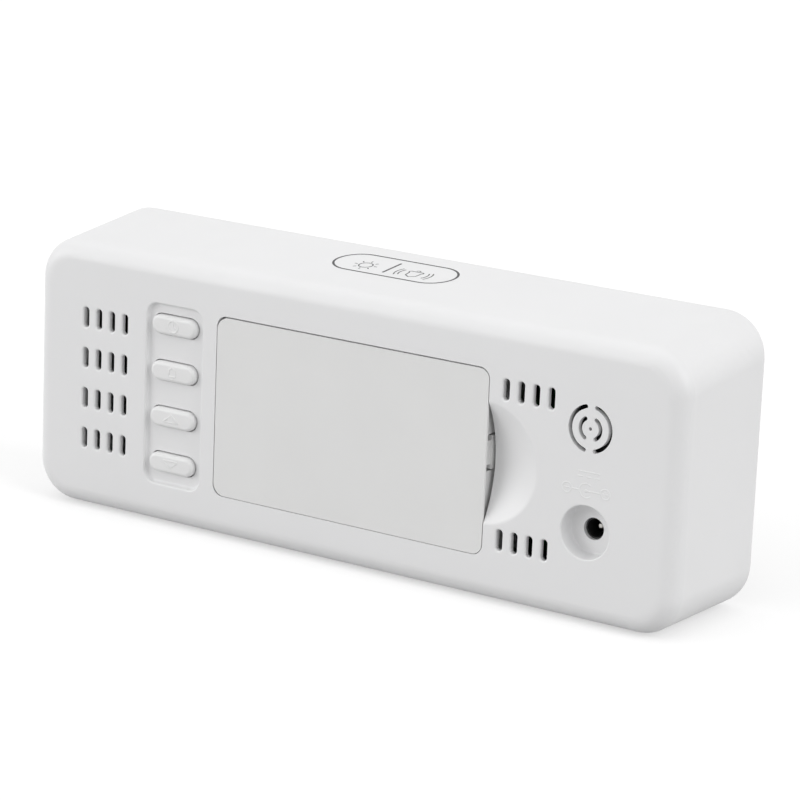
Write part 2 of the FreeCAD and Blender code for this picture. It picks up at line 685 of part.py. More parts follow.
    moulding = cut("moulding", fuse("moulding_solid", added), removed)
    doc.recompute()
    y = number(BACK)
    jack = liesAt(
        y,
        (number("sound_x - jack_dish_radius") - 0.1, number("jack_z - jack_dish_radius") - 0.1),
        (number("sound_x + jack_dish_radius") + 0.1, number("jack_z + jack_dish_radius") + 0.1),
    )
    vents = [
        liesAt(
            y,
            (number(columns[-1] + " - vent_width"), number(rows[-1] + " - vent_height")),
            (number(columns[0] + " + vent_width"), number(rows[0] + " + vent_height")),
        )
        for columns, rows in VENT_FIELDS
    ]
    panel_low, panel_high = middle(PANEL_Z, "panel_height")
    panel = liesAt(
        y,
        (number("panel_x - panel_width / 2") - 0.1, number(panel_low) - 0.1),
        (number("panel_x + panel_width / 2") + 0.1, number(panel_high) + 0.1),
    )
    housing = soften("jack_rim", moulding, size("jack_dish_rim"), jack)
    housing = soften(
        "small_rims",
        housing,
        size("rim_round"),
        lambda edge: panel(edge) or any(test(edge) for test in vents),
    )
    return keep("rear_housing", housing)


def thinWall(columns, rows):
    """A shallow pocket inside the back wall, behind a field of vents."""
    side = "(vent_width / 2 + vent_margin)"
    end = "(vent_height / 2 + vent_margin)"
    return block(
        "vent_pocket",
        ("%s - %s" % (columns[-1], side), "%s + %s" % (columns[0], side)),
        ("%s - cut_over" % INNER_BACK, "depth / 2 - vent_wall"),
        ("%s - %s" % (rows[-1], end), "%s + %s" % (rows[0], end)),
    )


def ringSlots(name, radius):
    """Two curved slots with round ends, drawn lying down about the origin and then stood upright."""
    middle_radius = "(%s - ring_slot / 2)" % radius
    end_x = "((ring_bridge + ring_slot) / 2)"
    end_y = "sqrt(%s ^ 2 - %s ^ 2)" % (middle_radius, end_x)
    half_angle = "asin(%s / %s)" % (end_x, middle_radius)
    length = ("0", "%s - (%s)" % (THROUGH_BACK[1], THROUGH_BACK[0]))
    ring = upright(name + "_disc", radius, "0", "0", length)
    tools = [upright(name + "_core", "%s - ring_slot" % radius, "0", "0", length)]
    for turn in (90, 270):
        wedge = upright(name + "_bridge", "%s + cut_over" % radius, "0", "0", length)
        bind(wedge, "Angle", "2 * %s" % half_angle)
        wedge.Placement.Rotation = FreeCAD.Rotation(FreeCAD.Vector(0, 0, 1), turn)
        bind(wedge, "Placement.Rotation.Angle", "%d deg - %s" % (turn, half_angle))
        tools.append(wedge)
    pieces = [cut(name + "_halves", ring, tools)]
    for side in ("-", ""):
        for end in ("-", ""):
            pieces.append(upright(name + "_end", "ring_slot / 2", side + end_x, end + end_y, length))
    slots = fuse(name, pieces)
    return place(slots, "sound_x", THROUGH_BACK[0], "sound_z", (1, 0, 0), -90)


def jackRecess():
    """The socket's recess: its wall leans out from a floor with a rounded edge."""
    recess = doc.addObject("Part::Cone", "jack_recess_cone")
    lean = "jack_dish_draft / jack_dish_depth"
    bind(recess, "Radius1", "jack_dish_radius - jack_dish_draft")
    bind(recess, "Radius2", "jack_dish_radius + cut_over * %s" % lean)
    bind(recess, "Height", "jack_dish_depth + cut_over")
    place(recess, "sound_x", JACK_FLOOR, "jack_z", (1, 0, 0), -90)
    return soften("jack_recess", recess, size("jack_dish_floor"), liesAt(number(JACK_FLOOR)))


def dishForm():
    """The finger dish: a ball's cap that turns out into the back face with a soft rim."""
    depth, rim = size("dish_depth"), size("dish_rim")
    ball = (size("dish_radius") ** 2 + depth**2) / (2 * depth)
    centre = ball - depth
    flare = math.sqrt((ball + rim) ** 2 - (centre + rim) ** 2)
    share = ball / (ball + rim)

    def at(radius, height):
        return FreeCAD.Vector(radius, height, 0)

    meeting = at(flare * share, centre - (centre + rim) * share)
    half = math.atan2(meeting.x, centre - meeting.y) / 2
    in_ball = at(ball * math.sin(half), centre - ball * math.cos(half))
    in_rim = at(flare - rim * math.sin(half), rim * math.cos(half) - rim)
    edges = [
        Part.Arc(at(0, -depth), in_ball, meeting).toShape(),
        Part.Arc(meeting, in_rim, at(flare, 0)).toShape(),
        Part.LineSegment(at(flare, 0), at(flare, 1)).toShape(),
        Part.LineSegment(at(flare, 1), at(0, 1)).toShape(),
        Part.LineSegment(at(0, 1), at(0, -depth)).toShape(),
    ]
    section = Part.Face(Part.Wire(edges))
    item = doc.addObject("Part::Feature", "dish")
    item.Shape = section.revolve(FreeCAD.Vector(), FreeCAD.Vector(0, 1, 0), 360)
    spot = FreeCAD.Vector(size("dish_x"), number(BACK), size("door_middle_z"))
    item.Placement = FreeCAD.Placement(spot, FreeCAD.Rotation())
    return item


def tailSlot(x, z, side):
    """The slot in the bay floor that a contact's solder tail goes through."""
    inner = "%s %s (contact_thick + contact_slot)" % (x, side)
    xs = (x, inner) if side == "+" else (inner, x)
    return block(
        "tail_slot",
        xs,
        ("%s - cut_over" % BAY_BOTTOM, "%s + cut_over" % ROOM_FLOOR),
        middle(z, "contact_tail + 2 * contact_slot"),
    )


# Contacts against the two ends of the cell room: (wall, middle of the solder tail, way into the room).
# The cells run in turn, so a plate joins the first to the second at one end,
# and the second to the third at the other.
LEFT_WALL = ROOM_X[0]
RIGHT_WALL = ROOM_X[1]
CONTACTS = [
    (LEFT_WALL, CELL_Z[0], "+"),
    (RIGHT_WALL, CELL_Z[2], "-"),
    (RIGHT_WALL, "(%s + %s) / 2" % (CELL_Z[0], CELL_Z[1]), "-"),
    (LEFT_WALL, "(%s + %s) / 2" % (CELL_Z[1], CELL_Z[2]), "+"),
]


def makeContact(node, contact, zs, button_z):
    """A plate with a solder tail down to the main board, and a raised button where a cell's tip rests."""
    x, tail_z, side = contact
    other = "%s %s contact_thick" % (x, side)
    xs = (x, other) if side == "+" else (other, x)
    items = [
        block(node + "_plate", xs, (ROOM_FLOOR, "%s + contact_height" % ROOM_FLOOR), zs),
        block(
            node + "_tail", xs, (BOARD_BACK, "%s + cut_over" % ROOM_FLOOR), middle(tail_z, "contact_tail")
        ),
    ]
    if button_z:
        into = "%s %s (contact_thick + button_rise)" % (x, side)
        ends = ("%s + contact_thick / 2" % x, into) if side == "+" else (into, "%s - contact_thick / 2" % x)
        items.append(lying(node + "_button", "button_radius", ends, CELL_Y, button_z))
    keep(node, fuse(node, items))


CELL_Y = "(%s + cell_play + cell_diameter / 2 - (cell_diameter - contact_height) / 2)" % ROOM_FLOOR


def makeContacts():
    single = [middle(CELL_Z[i], "contact_width") for i in range(CELLS_IN_ROW)]
    pairs = [
        ("%s - contact_width / 2" % CELL_Z[i + 1], "%s + contact_width / 2" % CELL_Z[i]) for i in range(2)
    ]
    makeContact("terminal_positive", CONTACTS[0], single[0], CELL_Z[0])
    makeContact("terminal_negative", CONTACTS[1], single[2], None)
    makeContact("bridge_plate_a", CONTACTS[2], pairs[0], CELL_Z[1])
    makeContact("bridge_plate_b", CONTACTS[3], pairs[1], CELL_Z[2])
    makeSpring("contact_spring_1", RIGHT_WALL, -1, CELL_Z[0])
    makeSpring("contact_spring_2", LEFT_WALL, 1, CELL_Z[1])
    makeSpring("contact_spring_3", RIGHT_WALL, -1, CELL_Z[2])


def arcFrom(start, corner, end):
    """The arc from start to end whose end tangents meet at the corner, halfway along both."""
    half_chord = (end - start).Length / 2
    reach = (corner - start).Length
    mid = (start + end) * 0.5
    rise = corner - mid
    height = rise.Length
    sagitta = half_chord * (reach - half_chord) / height
    top = mid + rise * (sagitta / height)
    return Part.Arc(start, top, end).toShape()


def makeSpring(node, wall, way, z):
    """A conical coil of round wire on a contact plate, small end towards the cell."""
    wire, base, tip = size("spring_wire"), size("spring_base"), size("spring_tip")
    rise = size("spring_length") - wire
    steps = SPRING_TURNS * 4
    gap = rise / SPRING_TURNS - wire
    print(node, "least gap between turns %.2f mm" % gap)

    def at(step):
        turn = step / 4
        share = step / steps
        radius = base + (tip - base) * share - wire / 2
        angle = 2 * math.pi * turn
        return FreeCAD.Vector(radius * math.cos(angle), radius * math.sin(angle), rise * share)

    def heading(step):
        nudge = 1e-4
        direction = at(step + nudge) - at(step - nudge)
        return direction.normalize()

    edges = []
    for step in range(steps):
        p0, p1, t0, t1 = at(step), at(step + 1), heading(step), heading(step + 1)
        chord = p1 - p0
        both = t0 + t1
        a = 2 * (1 - t0.dot(t1))
        b = 2 * chord.dot(both)
        c = -chord.dot(chord)
        reach = (-b + math.sqrt(b * b - 4 * a * c)) / (2 * a)
        corner0 = p0 + t0 * reach
        corner1 = p1 - t1 * reach
        joint = (corner0 + corner1) * 0.5
        edges.append(arcFrom(p0, corner0, joint))
        edges.append(arcFrom(joint, corner1, p1))
    path = Part.Wire(edges)
    ring = Part.Circle(at(0), heading(0), wire / 2).toShape()
    tube = path.makePipeShell([Part.Wire([ring])], True, False)
    solid = Part.Solid(tube) if tube.ShapeType == "Shell" else tube
    length = path.Length
    section = math.pi * wire * wire / 4
    print(node, "volume over section times length %.3f" % (solid.Volume / (section * length)))
    item = doc.addObject("Part::Feature", node)
    item.Shape = solid
    item.Placement = FreeCAD.Placement(
        FreeCAD.Vector(
            number(wall) + way * (size("contact_thick") + wire / 2),
            number(CELL_Y),
            number(z),
        ),
        FreeCAD.Rotation(FreeCAD.Vector(0, 1, 0), 90 * way),
    )
    keep(node, item)


def doorPlate():
    """The door's plate: undercut above the latch flank, with two corners at each end."""
    plate_z = ["%s - door_drop" % z for z in DOOR_Z]
    plate = block("door_plate_box", DOOR_X, (DOOR_INNER, BACK), plate_z)
    along_y = runsAlong((0, 1, 0))
    centre = number("door_middle_x")
    plate = soften(
        "door_plate_latch_end",
        plate,
        size("door_corner"),
        lambda edge: along_y(edge) and edge.BoundBox.XMax < centre,
    )
    plate = soften(
        "door_plate",
        plate,
        size("door_hinge_corner"),
        lambda edge: along_y(edge) and edge.BoundBox.XMin > centre,
    )
    undercut = block(
        "undercut",
        ("%s - cut_over" % DOOR_X[0], FLANK_FACE),
        ("%s - cut_over" % DOOR_INNER, "depth / 2 - door_lip"),
        FLANK_Z,
    )
    return cut("undercut_plate", plate, [undercut])


def makeDoor():
    """Flush plate with two hooks at one end and a springy latch tongue in the flank at the other."""
    flank_low = "depth / 2 - flank_depth"
    tongue_face = "%s - tongue_rise" % FLANK_FACE
    tongue_z = middle("tongue_z", "tongue_width - 2 * tongue_slit")
    items = [
        doorPlate(),
        block(
            "door_flank",
            (FLANK_FACE, FLANK_BACK),
            (flank_low, "%s + door_thick / 2" % DOOR_INNER),
            FLANK_Z,
        ),
        block(
            "door_tongue",
            (tongue_face, "%s + flank_thick / 2" % FLANK_FACE),
            (flank_low, "depth / 2 - tongue_slot_end"),
            tongue_z,
        ),
        block(
            "door_nib",
            ("%s - nib_height" % tongue_face, "%s + flank_thick / 2" % FLANK_FACE),
            ("%s + nib_thick / 2" % flank_low, "%s + nib_thick * 3 / 2" % flank_low),
            tongue_z,
        ),
    ]
    for sign in "-+":
        z = middle("door_middle_z %s hook_spacing / 2" % sign, "hook_width")
        lip_y = ("%s - hook_room - hook_thick" % INNER_BACK, "%s - hook_room" % INNER_BACK)
        items.append(
            block("hook_lip", ("%s - hook_web" % DOOR_X[1], "%s + hook_reach" % DOOR_X[1]), lip_y, z)
        )
        items.append(
            block(
                "hook_web",
                ("%s - hook_web" % DOOR_X[1], DOOR_X[1]),
                (lip_y[0], "%s + door_thick / 2" % DOOR_INNER),
                z,
            )
        )
    slots = []
    across = ("%s - cut_over" % tongue_face, "%s + cut_over" % FLANK_BACK)
    root = ("depth / 2 - tongue_slot_end", "depth / 2 - tongue_slot_start")
    down = ("%s - cut_over" % flank_low, root[1])
    for sign in "-+":
        z = "tongue_z %s (tongue_width - tongue_slot) / 2" % sign
        slots.append(block("tongue_slot", across, root, middle(z, "tongue_slot")))
        z = "tongue_z %s (tongue_width - tongue_slit) / 2" % sign
        slots.append(block("tongue_slit", across, down, middle(z, "tongue_slit")))
    keep("battery_door", cut("door", fuse("door_solid", items), slots))


def makeKeys():
    """Four key caps held behind the wall by flanges, each on its own switch."""
    cap_face = "depth / 2 - panel_depth + key_rise"
    flange_back = "%s - key_flange_thick" % KEY_SEAT
    for i, (node, z) in enumerate(zip(KEY_NAMES, KEY_Z), start=1):
        cap = pill(node + "_cap", "key_x", z, "key_length", "key_height", (flange_back, cap_face))
        cap = soften(node + "_soft_cap", cap, size("key_edge"), liesAt(number(cap_face)))
        flange = pill(
            node + "_flange",
            "key_x",
            z,
            "key_length + 2 * key_flange",
            "key_height + 2 * key_flange",
            (flange_back, KEY_SEAT),
        )
        stem = rod(node + "_stem", "key_stem_radius", "key_x", (STEM_END, KEY_SEAT), z)
        keep(node, fuse(node, [cap, flange, stem]))

        case = block(
            "case",
            middle("key_x", "switch_side"),
            (KEY_BOARD_FACE, SWITCH_FACE),
            middle(z, "switch_side"),
        )
        well = rod(
            "well",
            "plunger_radius + plunger_fit",
            "key_x",
            ("%s - switch_well" % SWITCH_FACE, "%s + cut_over" % SWITCH_FACE),
            z,
        )
        keep("key_switch_%d" % i, cut("key_switch", case, [well]))
        reach = ("%s - plunger_foot" % SWITCH_FACE, STEM_END)
        plunger = rod("plunger", "plunger_radius", "key_x", reach, z)
        keep("switch_plunger_%d" % i, plunger)


def boardWith(node, xs, ys, zs, holes, hole_radius):
    plate = block(node + "_plate", xs, ys, zs)
    tools = [
        rod(node + "_hole", hole_radius, x, ("%s - cut_over" % ys[0], "%s + cut_over" % ys[1]), z)
        for x, z in holes
    ]
    return keep(node, cut(node, plate, tools))


def screwSet(node, spots, seat, way, length, shank_radius, head_radius, head_height):
    """Pan-head screws along Y as one group; the head lies on the seat, on the side away from the shank."""
    screws = []
    for x, z in spots:
        if way > 0:
            shank = (seat, "%s + (%s)" % (seat, length))
            head = ("%s - (%s)" % (seat, head_height), seat)
            slot_y = (head[0] + " - cut_over", "%s + (%s) / 2" % (head[0], head_height))
        else:
            shank = ("%s - (%s)" % (seat, length), seat)
            head = (seat, "%s + (%s)" % (seat, head_height))
            slot_y = ("%s - (%s) / 2" % (head[1], head_height), head[1] + " + cut_over")
        solid = fuse(
            node + "_screw",
            [rod("shank", shank_radius, x, shank, z), rod("head", head_radius, x, head, z)],
        )
        cross = [
            block("cross", middle(x, "1.2 * (%s)" % head_radius), slot_y, middle(z, "screw_slot")),
            block("cross", middle(x, "screw_slot"), slot_y, middle(z, "1.2 * (%s)" % head_radius)),
        ]
        screws.append(cut("screw", solid, cross))
    group = doc.addObject("Part::Compound", node)
    group.Links = screws
    return keep(node, group)


def makeBoards():
    key_ys = ("%s - board_thick" % KEY_BOARD_FACE, KEY_BOARD_FACE)
    key_x = (
        "%s + door_gap + bay_hook_side + board_clear" % DOOR_X[1],
        "key_post_x + post_radius + board_edge",
    )
    key_zs = middle("door_middle_z", "key_board_height")
    boardWith("key_board", key_x, key_ys, key_zs, KEY_POSTS, "post_hole")
    screwSet(
        "key_board_screws",
        KEY_POSTS,
        key_ys[0],
        1,
        "board_thick + screw_length - screw_end",
        "screw_radius",
        "screw_head_radius",
        "screw_head",
    )

    power_ys = ("%s - board_thick" % POWER_FACE, POWER_FACE)
    boardWith(
        "power_board",
        middle("sound_x", "power_board_width"),
        power_ys,
        (
            "column_low_z + column_radius + power_board_clear",
            "column_high_z - column_radius - power_board_clear",
        ),
        POWER_POSTS,
        "post_hole",
    )
    screwSet(
        "power_board_screws",
        POWER_POSTS,
        power_ys[0],
        1,
        "board_thick + screw_length - screw_end",
        "screw_radius",
        "screw_head_radius",
        "screw_head",
    )

    board_x = middle("0", "2 * " + MAIN_BOARD_X)
    board_z = middle("display_z", "main_board_height")
    boardWith("main_board", board_x, (BOARD_FRONT, BOARD_BACK), board_z, BOARD_POSTS, "post_hole")
    screwSet(
        "board_screws",
        BOARD_POSTS,
        BOARD_BACK,
        -1,
        "main_board_thick + guide_thick",
        "screw_radius",
        "screw_head_radius",
        "screw_head",
    )
    makeHeader("key_header", "key_header_x", "door_middle_z", KEY_HEADER_PINS, key_ys[0])
    makeHeader("power_header", "power_header_x", "power_header_z", POWER_HEADER_PINS, power_ys[0])


def makeHeader(node, x, z, pins, board_face):
    """A block of pins between the main board and a smaller board."""
    span = "%d * header_pitch" % pins
    keep(node, block(node, middle(x, "header_thick"), (BOARD_BACK, board_face), middle(z, span)))


def makeSounderAndSocket():
    case_y = (POWER_FACE, SOUNDER_FACE)
    case = rod("sounder_case", "sounder_radius", "sound_x", case_y, "sound_z")
    hole = rod(
        "sounder_hole",
        "sounder_hole",
        "sound_x",
        ("(%s + %s) / 2" % case_y, "%s + cut_over" % SOUNDER_FACE),
        "sound_z",
    )
    keep("buzzer", cut("buzzer", case, [hole]))
    body = block(
        "jack_case", middle("sound_x", "jack_side"), (POWER_FACE, JACK_FACE), middle("jack_z", "jack_side")
    )
    nose = rod(
        "jack_nose",
        "jack_hole_radius - jack_nose_gap",
        "sound_x",
        ("%s - cut_over" % JACK_FACE, JACK_MOUTH),
        "jack_z",
    )
    bore = rod("jack_bore", "jack_bore", "sound_x", (JACK_END, "%s + cut_over" % JACK_MOUTH), "jack_z")
    keep("dc_jack", cut("dc_jack", fuse("jack_solid", [body, nose]), [bore]))
    pin_end = "%s - jack_pin_back" % JACK_MOUTH
    pin = rod("pin", "jack_pin_radius", "sound_x", (JACK_END, pin_end), "jack_z")
    tip = liesAt(number(pin_end))
    keep("jack_pin", soften("jack_pin", pin, size("jack_pin_radius") * 0.6, tip))


def frontPlate(name, inset, ys, radius_inset):
    """A plate that follows the housing's mouth, inset from the outer form where that is narrower."""
    width = "min(%s; %s)" % (widthAt(ys[0]), widthAt(ys[1]))
    top = "min(%s; %s)" % (topAt(ys[0]), topAt(ys[1]))
    return roundedBlock(
        name,
        middle("0", "%s - 2 * (%s)" % (width, inset)),
        ys,
        ("base + (%s)" % inset, "%s - (%s)" % (top, inset)),
        "corner_radius - (%s)" % radius_inset,
    )


def makeFront():
    """Lens, adhesive frame, display frame and the display stack behind it."""
    lens_inset = "wall + lens_gap"
    lens = frontPlate("lens_plate", lens_inset, (LENS_FRONT, LENS_BACK), lens_inset)
    keep("front_lens", lens)
    tape_ys = (LENS_BACK, FRAME_FRONT)
    tape = frontPlate("tape_plate", "wall + 2 * lens_gap", tape_ys, "wall + 2 * lens_gap")
    tape_hole = frontPlate(
        "tape_hole",
        "wall + 2 * lens_gap + tape_width",
        ("%s - cut_over" % LENS_BACK, "%s + cut_over" % FRAME_FRONT),
        "wall + 2 * lens_gap + tape_width",
    )
    keep("lens_tape", cut("lens_tape", tape, [tape_hole]))

    plate = frontPlate("frame_plate", "wall + frame_gap", (FRAME_FRONT, FRAME_BACK), "wall + frame_gap")
    inner_x = "2 * (%s + display_gap)" % DISPLAY_X
    inner_z = "display_height + 2 * display_gap"
    ring_ys = ("%s - frame_thick / 2" % FRAME_BACK, BOARD_FRONT)
    ring = cut(
        "frame_ring",
        block(
            "ring_block",
            middle("0", inner_x + " + 2 * frame_wall"),
            ring_ys,
            middle("display_z", inner_z + " + 2 * frame_wall"),
        ),
        [
            block(
                "ring_room",
                middle("0", inner_x),
                ("%s - frame_thick" % FRAME_BACK, "%s + cut_over" % BOARD_FRONT),
                middle("display_z", inner_z),
            )
        ],
    )
    posts = [
        rod("board_post", "post_radius", x, ("%s - frame_thick / 2" % FRAME_BACK, BOARD_FRONT), z)
        for x, z in BOARD_POSTS
    ]
    through = ("%s - cut_over" % FRAME_FRONT, "%s + cut_over" % FRAME_BACK)
    tools = [
        block(
            "window",
            middle("0", "2 * (%s - window_border)" % DISPLAY_X),
            through,
            middle("display_z", "display_height - 2 * window_border"),
        )
    ]
    hole_y = ("%s - guide_thick" % BOARD_FRONT, "%s + cut_over" % BOARD_FRONT)
    for x, z in BOARD_POSTS:
        tools.append(rod("board_post_hole", "post_hole", x, hole_y, z))
    for x, z in COLUMNS:
        tools.append(rod("column_way", "column_hole", x, through, z))
        tools.append(
            rod(
                "column_seat",
                "column_head_radius + head_play",
                x,
                ("%s - cut_over" % FRAME_FRONT, "%s + column_head" % FRAME_FRONT),
                z,
            )
        )
    keep("display_frame", cut("display_frame", fuse("frame_solid", [plate, ring] + posts), tools))
    screwSet(
        "frame_screws",
        COLUMNS,
        "(%s + column_head)" % FRAME_FRONT,
        1,
        "frame_thick - column_head + column_screw_length - screw_end",
        "column_screw_radius",
        "column_head_radius",
        "column_head - head_sink",
    )

    low = "(display_z - display_height / 2)"
    high = "(display_z + display_height / 2)"
    panel_y = (FRAME_BACK, DISPLAY_BACK)
    keep("lcd_panel", block("lcd_panel", middle("0", "2 * " + DISPLAY_X), panel_y, (low, high)))
    guide_x = middle("0", "2 * (%s - guide_end)" % DISPLAY_X)
    keep(
        "light_guide",
        block("light_guide", guide_x, (DISPLAY_BACK, BOARD_FRONT), ("%s + guide_foot" % low, high)),
    )
    keep(
        "connector_strip",
        block(
            "connector_strip",
            guide_x,
            (DISPLAY_BACK, BOARD_FRONT),
            middle("%s + guide_foot / 2" % low, "strip_thick"),
        ),
    )
    for side, sign in (("left", "-"), ("right", "")):
        x = "%s(%s - guide_end / 2)" % (sign, DISPLAY_X)
        keep(
            "backlight_lamp_" + side,
            block(
                "lamp",
                middle(x, "lamp_side"),
                ("%s - lamp_side" % BOARD_FRONT, BOARD_FRONT),
                middle("display_z", "lamp_side"),
            ),
        )


def makeBoardParts():
    """What stands on the back of the main board, and the touch board under the top."""
    chip = doc.addObject("Part::Sphere", "chip_ball")
    ball = "((chip_radius ^ 2 + chip_rise ^ 2) / (2 * chip_rise))"
    bind(chip, "Radius", ball)
    place(chip, "chip_x", "%s + chip_rise - %s" % (BOARD_BACK, ball), "display_z")
    keep_dome = block(
        "chip_room",
        middle("chip_x", "4 * chip_radius"),
        (BOARD_BACK, "%s + 2 * chip_rise" % BOARD_BACK),
        middle("display_z", "4 * chip_radius"),
    )
    dome = doc.addObject("Part::Common", "processor")
    dome.Base = chip
    dome.Tool = keep_dome
    keep("processor", dome)
    crystal = lying(
        "crystal",
        "crystal_radius",
        middle("crystal_x", "crystal_length"),
        "%s + crystal_radius" % BOARD_BACK,
        "display_z",
    )
    keep("quartz_crystal", crystal)
    capacitor = rod(
        "capacitor",
        "capacitor_radius",
        "%s - capacitor_side" % MAIN_BOARD_X,
        (BOARD_BACK, "%s + capacitor_height" % BOARD_BACK),
        "capacitor_z",
    )
    keep("capacitor", capacitor)

    slope = "atan((top_front - top_back) / depth)"
    board = doc.addObject("Part::Box", "touch_plate")
    bind(board, "Length", "touch_width")
    bind(board, "Width", "touch_depth")
    bind(board, "Height", "board_thick")
    board.Placement = FreeCAD.Placement(
        FreeCAD.Vector(), FreeCAD.Rotation(FreeCAD.Vector(1, 0, 0), -1)
    )
    bind(board, "Placement.Rotation.Angle", "-%s" % slope)
    bind(board, "Placement.Base.x", "touch_x - touch_width / 2")
    front = "(touch_y - touch_depth / 2)"
    bind(board, "Placement.Base.y", front)
    seat = "%s - wall - (touch_gap + board_thick) / cos(%s)"
    bind(board, "Placement.Base.z", seat % (topAt(front), slope))
    keep("touch_board", board)
    pins = []
    pin_y = "(%s + touch_pin_radius)" % BOARD_BACK
    board_top = "(display_z + main_board_height / 2)"
    pin_top = "%s - touch_pin_radius * tan(%s)" % (seat % (topAt(pin_y), slope), slope)
    for sign in "-+":
        pins.append(
            upright(
                "touch_pin",
                "touch_pin_radius",
                "touch_x %s touch_pin_spread / 2" % sign,
                pin_y,
                ("%s - touch_pin_lap" % board_top, pin_top),
            )
        )
    group = doc.addObject("Part::Compound", "touch_pins")
    group.Links = pins
    keep("touch_pins", group)


def makeFeet():
    for i, (x, y) in enumerate(FEET, start=1):
        pad = upright("foot", "foot_radius", x, y, ("0", "foot_thick"))
        keep("foot_%d" % i, pad)


makeHousing()
makeContacts()
makeDoor()
makeKeys()
makeBoards()
makeSounderAndSocket()
makeFront()
makeBoardParts()
makeFeet()
doc.recompute()

for item in doc.Objects:
    state = " ".join(item.State)
    if "Invalid" in state or "Error" in state:
        raise RuntimeError("%s (%s) failed: %s" % (item.Name, item.Label, state))
for node, item in PARTS.items():
    shape = item.Shape
    if shape.isNull() or not shape.isValid() or not shape.Solids:
        raise RuntimeError("%s has no valid solid" % node)
for node, item in PARTS.items():
    item.Shape.exportStep("parts/%s.step" % node)
    box = item.Shape.BoundBox
    print(
        "%-22s solids %2d  volume %9.1f  x %7.2f..%7.2f  y %7.2f..%7.2f  z %7.2f..%7.2f"
        % (
            node,
            len(item.Shape.Solids),
            item.Shape.Volume,
            box.XMin,
            box.XMax,
            box.YMin,
            box.YMax,
            box.ZMin,
            box.ZMax,
        )
    )
print(len(PARTS), "nodes")
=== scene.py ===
import json
import math

import bmesh
import bpy
import numpy as np
from mathutils import Matrix, Vector


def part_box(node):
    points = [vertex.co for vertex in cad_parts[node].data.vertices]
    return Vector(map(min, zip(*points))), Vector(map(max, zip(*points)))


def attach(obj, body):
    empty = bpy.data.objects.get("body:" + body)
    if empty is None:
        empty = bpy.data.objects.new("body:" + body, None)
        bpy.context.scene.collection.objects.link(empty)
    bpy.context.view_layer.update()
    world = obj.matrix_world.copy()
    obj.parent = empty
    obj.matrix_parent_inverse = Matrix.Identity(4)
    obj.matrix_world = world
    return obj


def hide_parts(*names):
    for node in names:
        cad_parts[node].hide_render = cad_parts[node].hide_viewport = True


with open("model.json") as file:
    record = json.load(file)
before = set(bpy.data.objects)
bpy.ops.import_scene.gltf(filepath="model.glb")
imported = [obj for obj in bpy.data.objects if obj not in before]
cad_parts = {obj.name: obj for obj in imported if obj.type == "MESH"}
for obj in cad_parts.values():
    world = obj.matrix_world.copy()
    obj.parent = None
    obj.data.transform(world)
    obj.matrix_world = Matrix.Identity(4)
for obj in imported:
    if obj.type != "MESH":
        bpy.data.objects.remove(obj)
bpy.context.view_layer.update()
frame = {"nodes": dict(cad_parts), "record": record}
nodes = frame["nodes"]
print("frame loaded:", len(nodes), "nodes")

mm = 0.001


# camera: behind the clock and a little above it, towards its -X end
cameraLook = {
    "place": (-361.97, 553.73, 202.155),  # mm
    "target": (-3.814, 0.0, 32.08),  # mm
    "roll": 2.375,  # degrees
    "lens": 153.36,
    "sensor": 36.0,
    "clip": (0.01, 50),  # m
}


def aimCamera(look):
    place, target = Vector(look["place"]) * mm, Vector(look["target"]) * mm
    ahead = (target - place).normalized()
    side = ahead.cross(Vector((0, 0, 1))).normalized()
    above = side.cross(ahead)
    roll = math.radians(look["roll"])
    right = side * math.cos(roll) + above * math.sin(roll)
    up = above * math.cos(roll) - side * math.sin(roll)
    turn = Matrix((right, up, -ahead)).transposed()
    data = bpy.data.cameras.new("backView")
    data.lens, data.sensor_width = look["lens"], look["sensor"]
    data.clip_start, data.clip_end = look["clip"]
    camera = bpy.data.objects.new("backView", data)
    camera.matrix_world = Matrix.Translation(place) @ turn.to_4x4()
    bpy.context.scene.collection.objects.link(camera)
    bpy.context.scene.camera = camera


aimCamera(cameraLook)
print("camera set")


lineSides = 12  # points round the section of a raised line
lineEnds = (24.0, 48.0, 68.0, 84.0)  # degrees round a raised line's end, one ring of points at each
ringEnd = 352.0  # degrees at which a closed ring's last point lies, short of its first


# surfaces are grids of points worked out as whole arrays
def gridFaces(rows, columns, wrapRows, wrapColumns):
    # quads between neighbours of a rows x columns grid, joined round where a side wraps
    i = np.arange(rows if wrapRows else rows - 1)[:, None]
    j = np.arange(columns if wrapColumns else columns - 1)[None, :]
    nextI, nextJ = (i + 1) % rows, (j + 1) % columns
    corners = [i * columns + j, i * columns + nextJ, nextI * columns + nextJ, nextI * columns + j]
    return np.stack([np.broadcast_to(c, (i.size, j.size)) for c in corners], -1).reshape(-1, 4)


def joinShapes(shapes):
    # several (points, faces) pairs as one, each one's face numbers moved past the points before it
    points, faces, count = [], [], 0
    for shapePoints, shapeFaces in shapes:
        points.append(shapePoints)
        faces += [tuple(int(c) + count for c in face) for face in shapeFaces]
        count += len(shapePoints)
    return np.concatenate(points), faces


def putPiece(name, shape, body, material, smooth=True):
    points, faces = shape
    mesh = bpy.data.meshes.new(name)
    mesh.from_pydata((points * mm).tolist(), [], [list(face) for face in faces])
    mesh.polygons.foreach_set("use_smooth", np.full(len(mesh.polygons), smooth))
    mesh.update()
    piece = bpy.data.objects.new(name, mesh)
    bpy.context.scene.collection.objects.link(piece)
    piece.data.materials.append(material)
    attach(piece, body)
    return piece


def arcPath(centre, radius, start, end, steps):
    # centre + radius * (cos a, sin a), a running from start to end in degrees
    a = np.radians(np.linspace(start, end, steps))
    return np.stack([centre[0] + radius * np.cos(a), centre[1] + radius * np.sin(a)], 1)


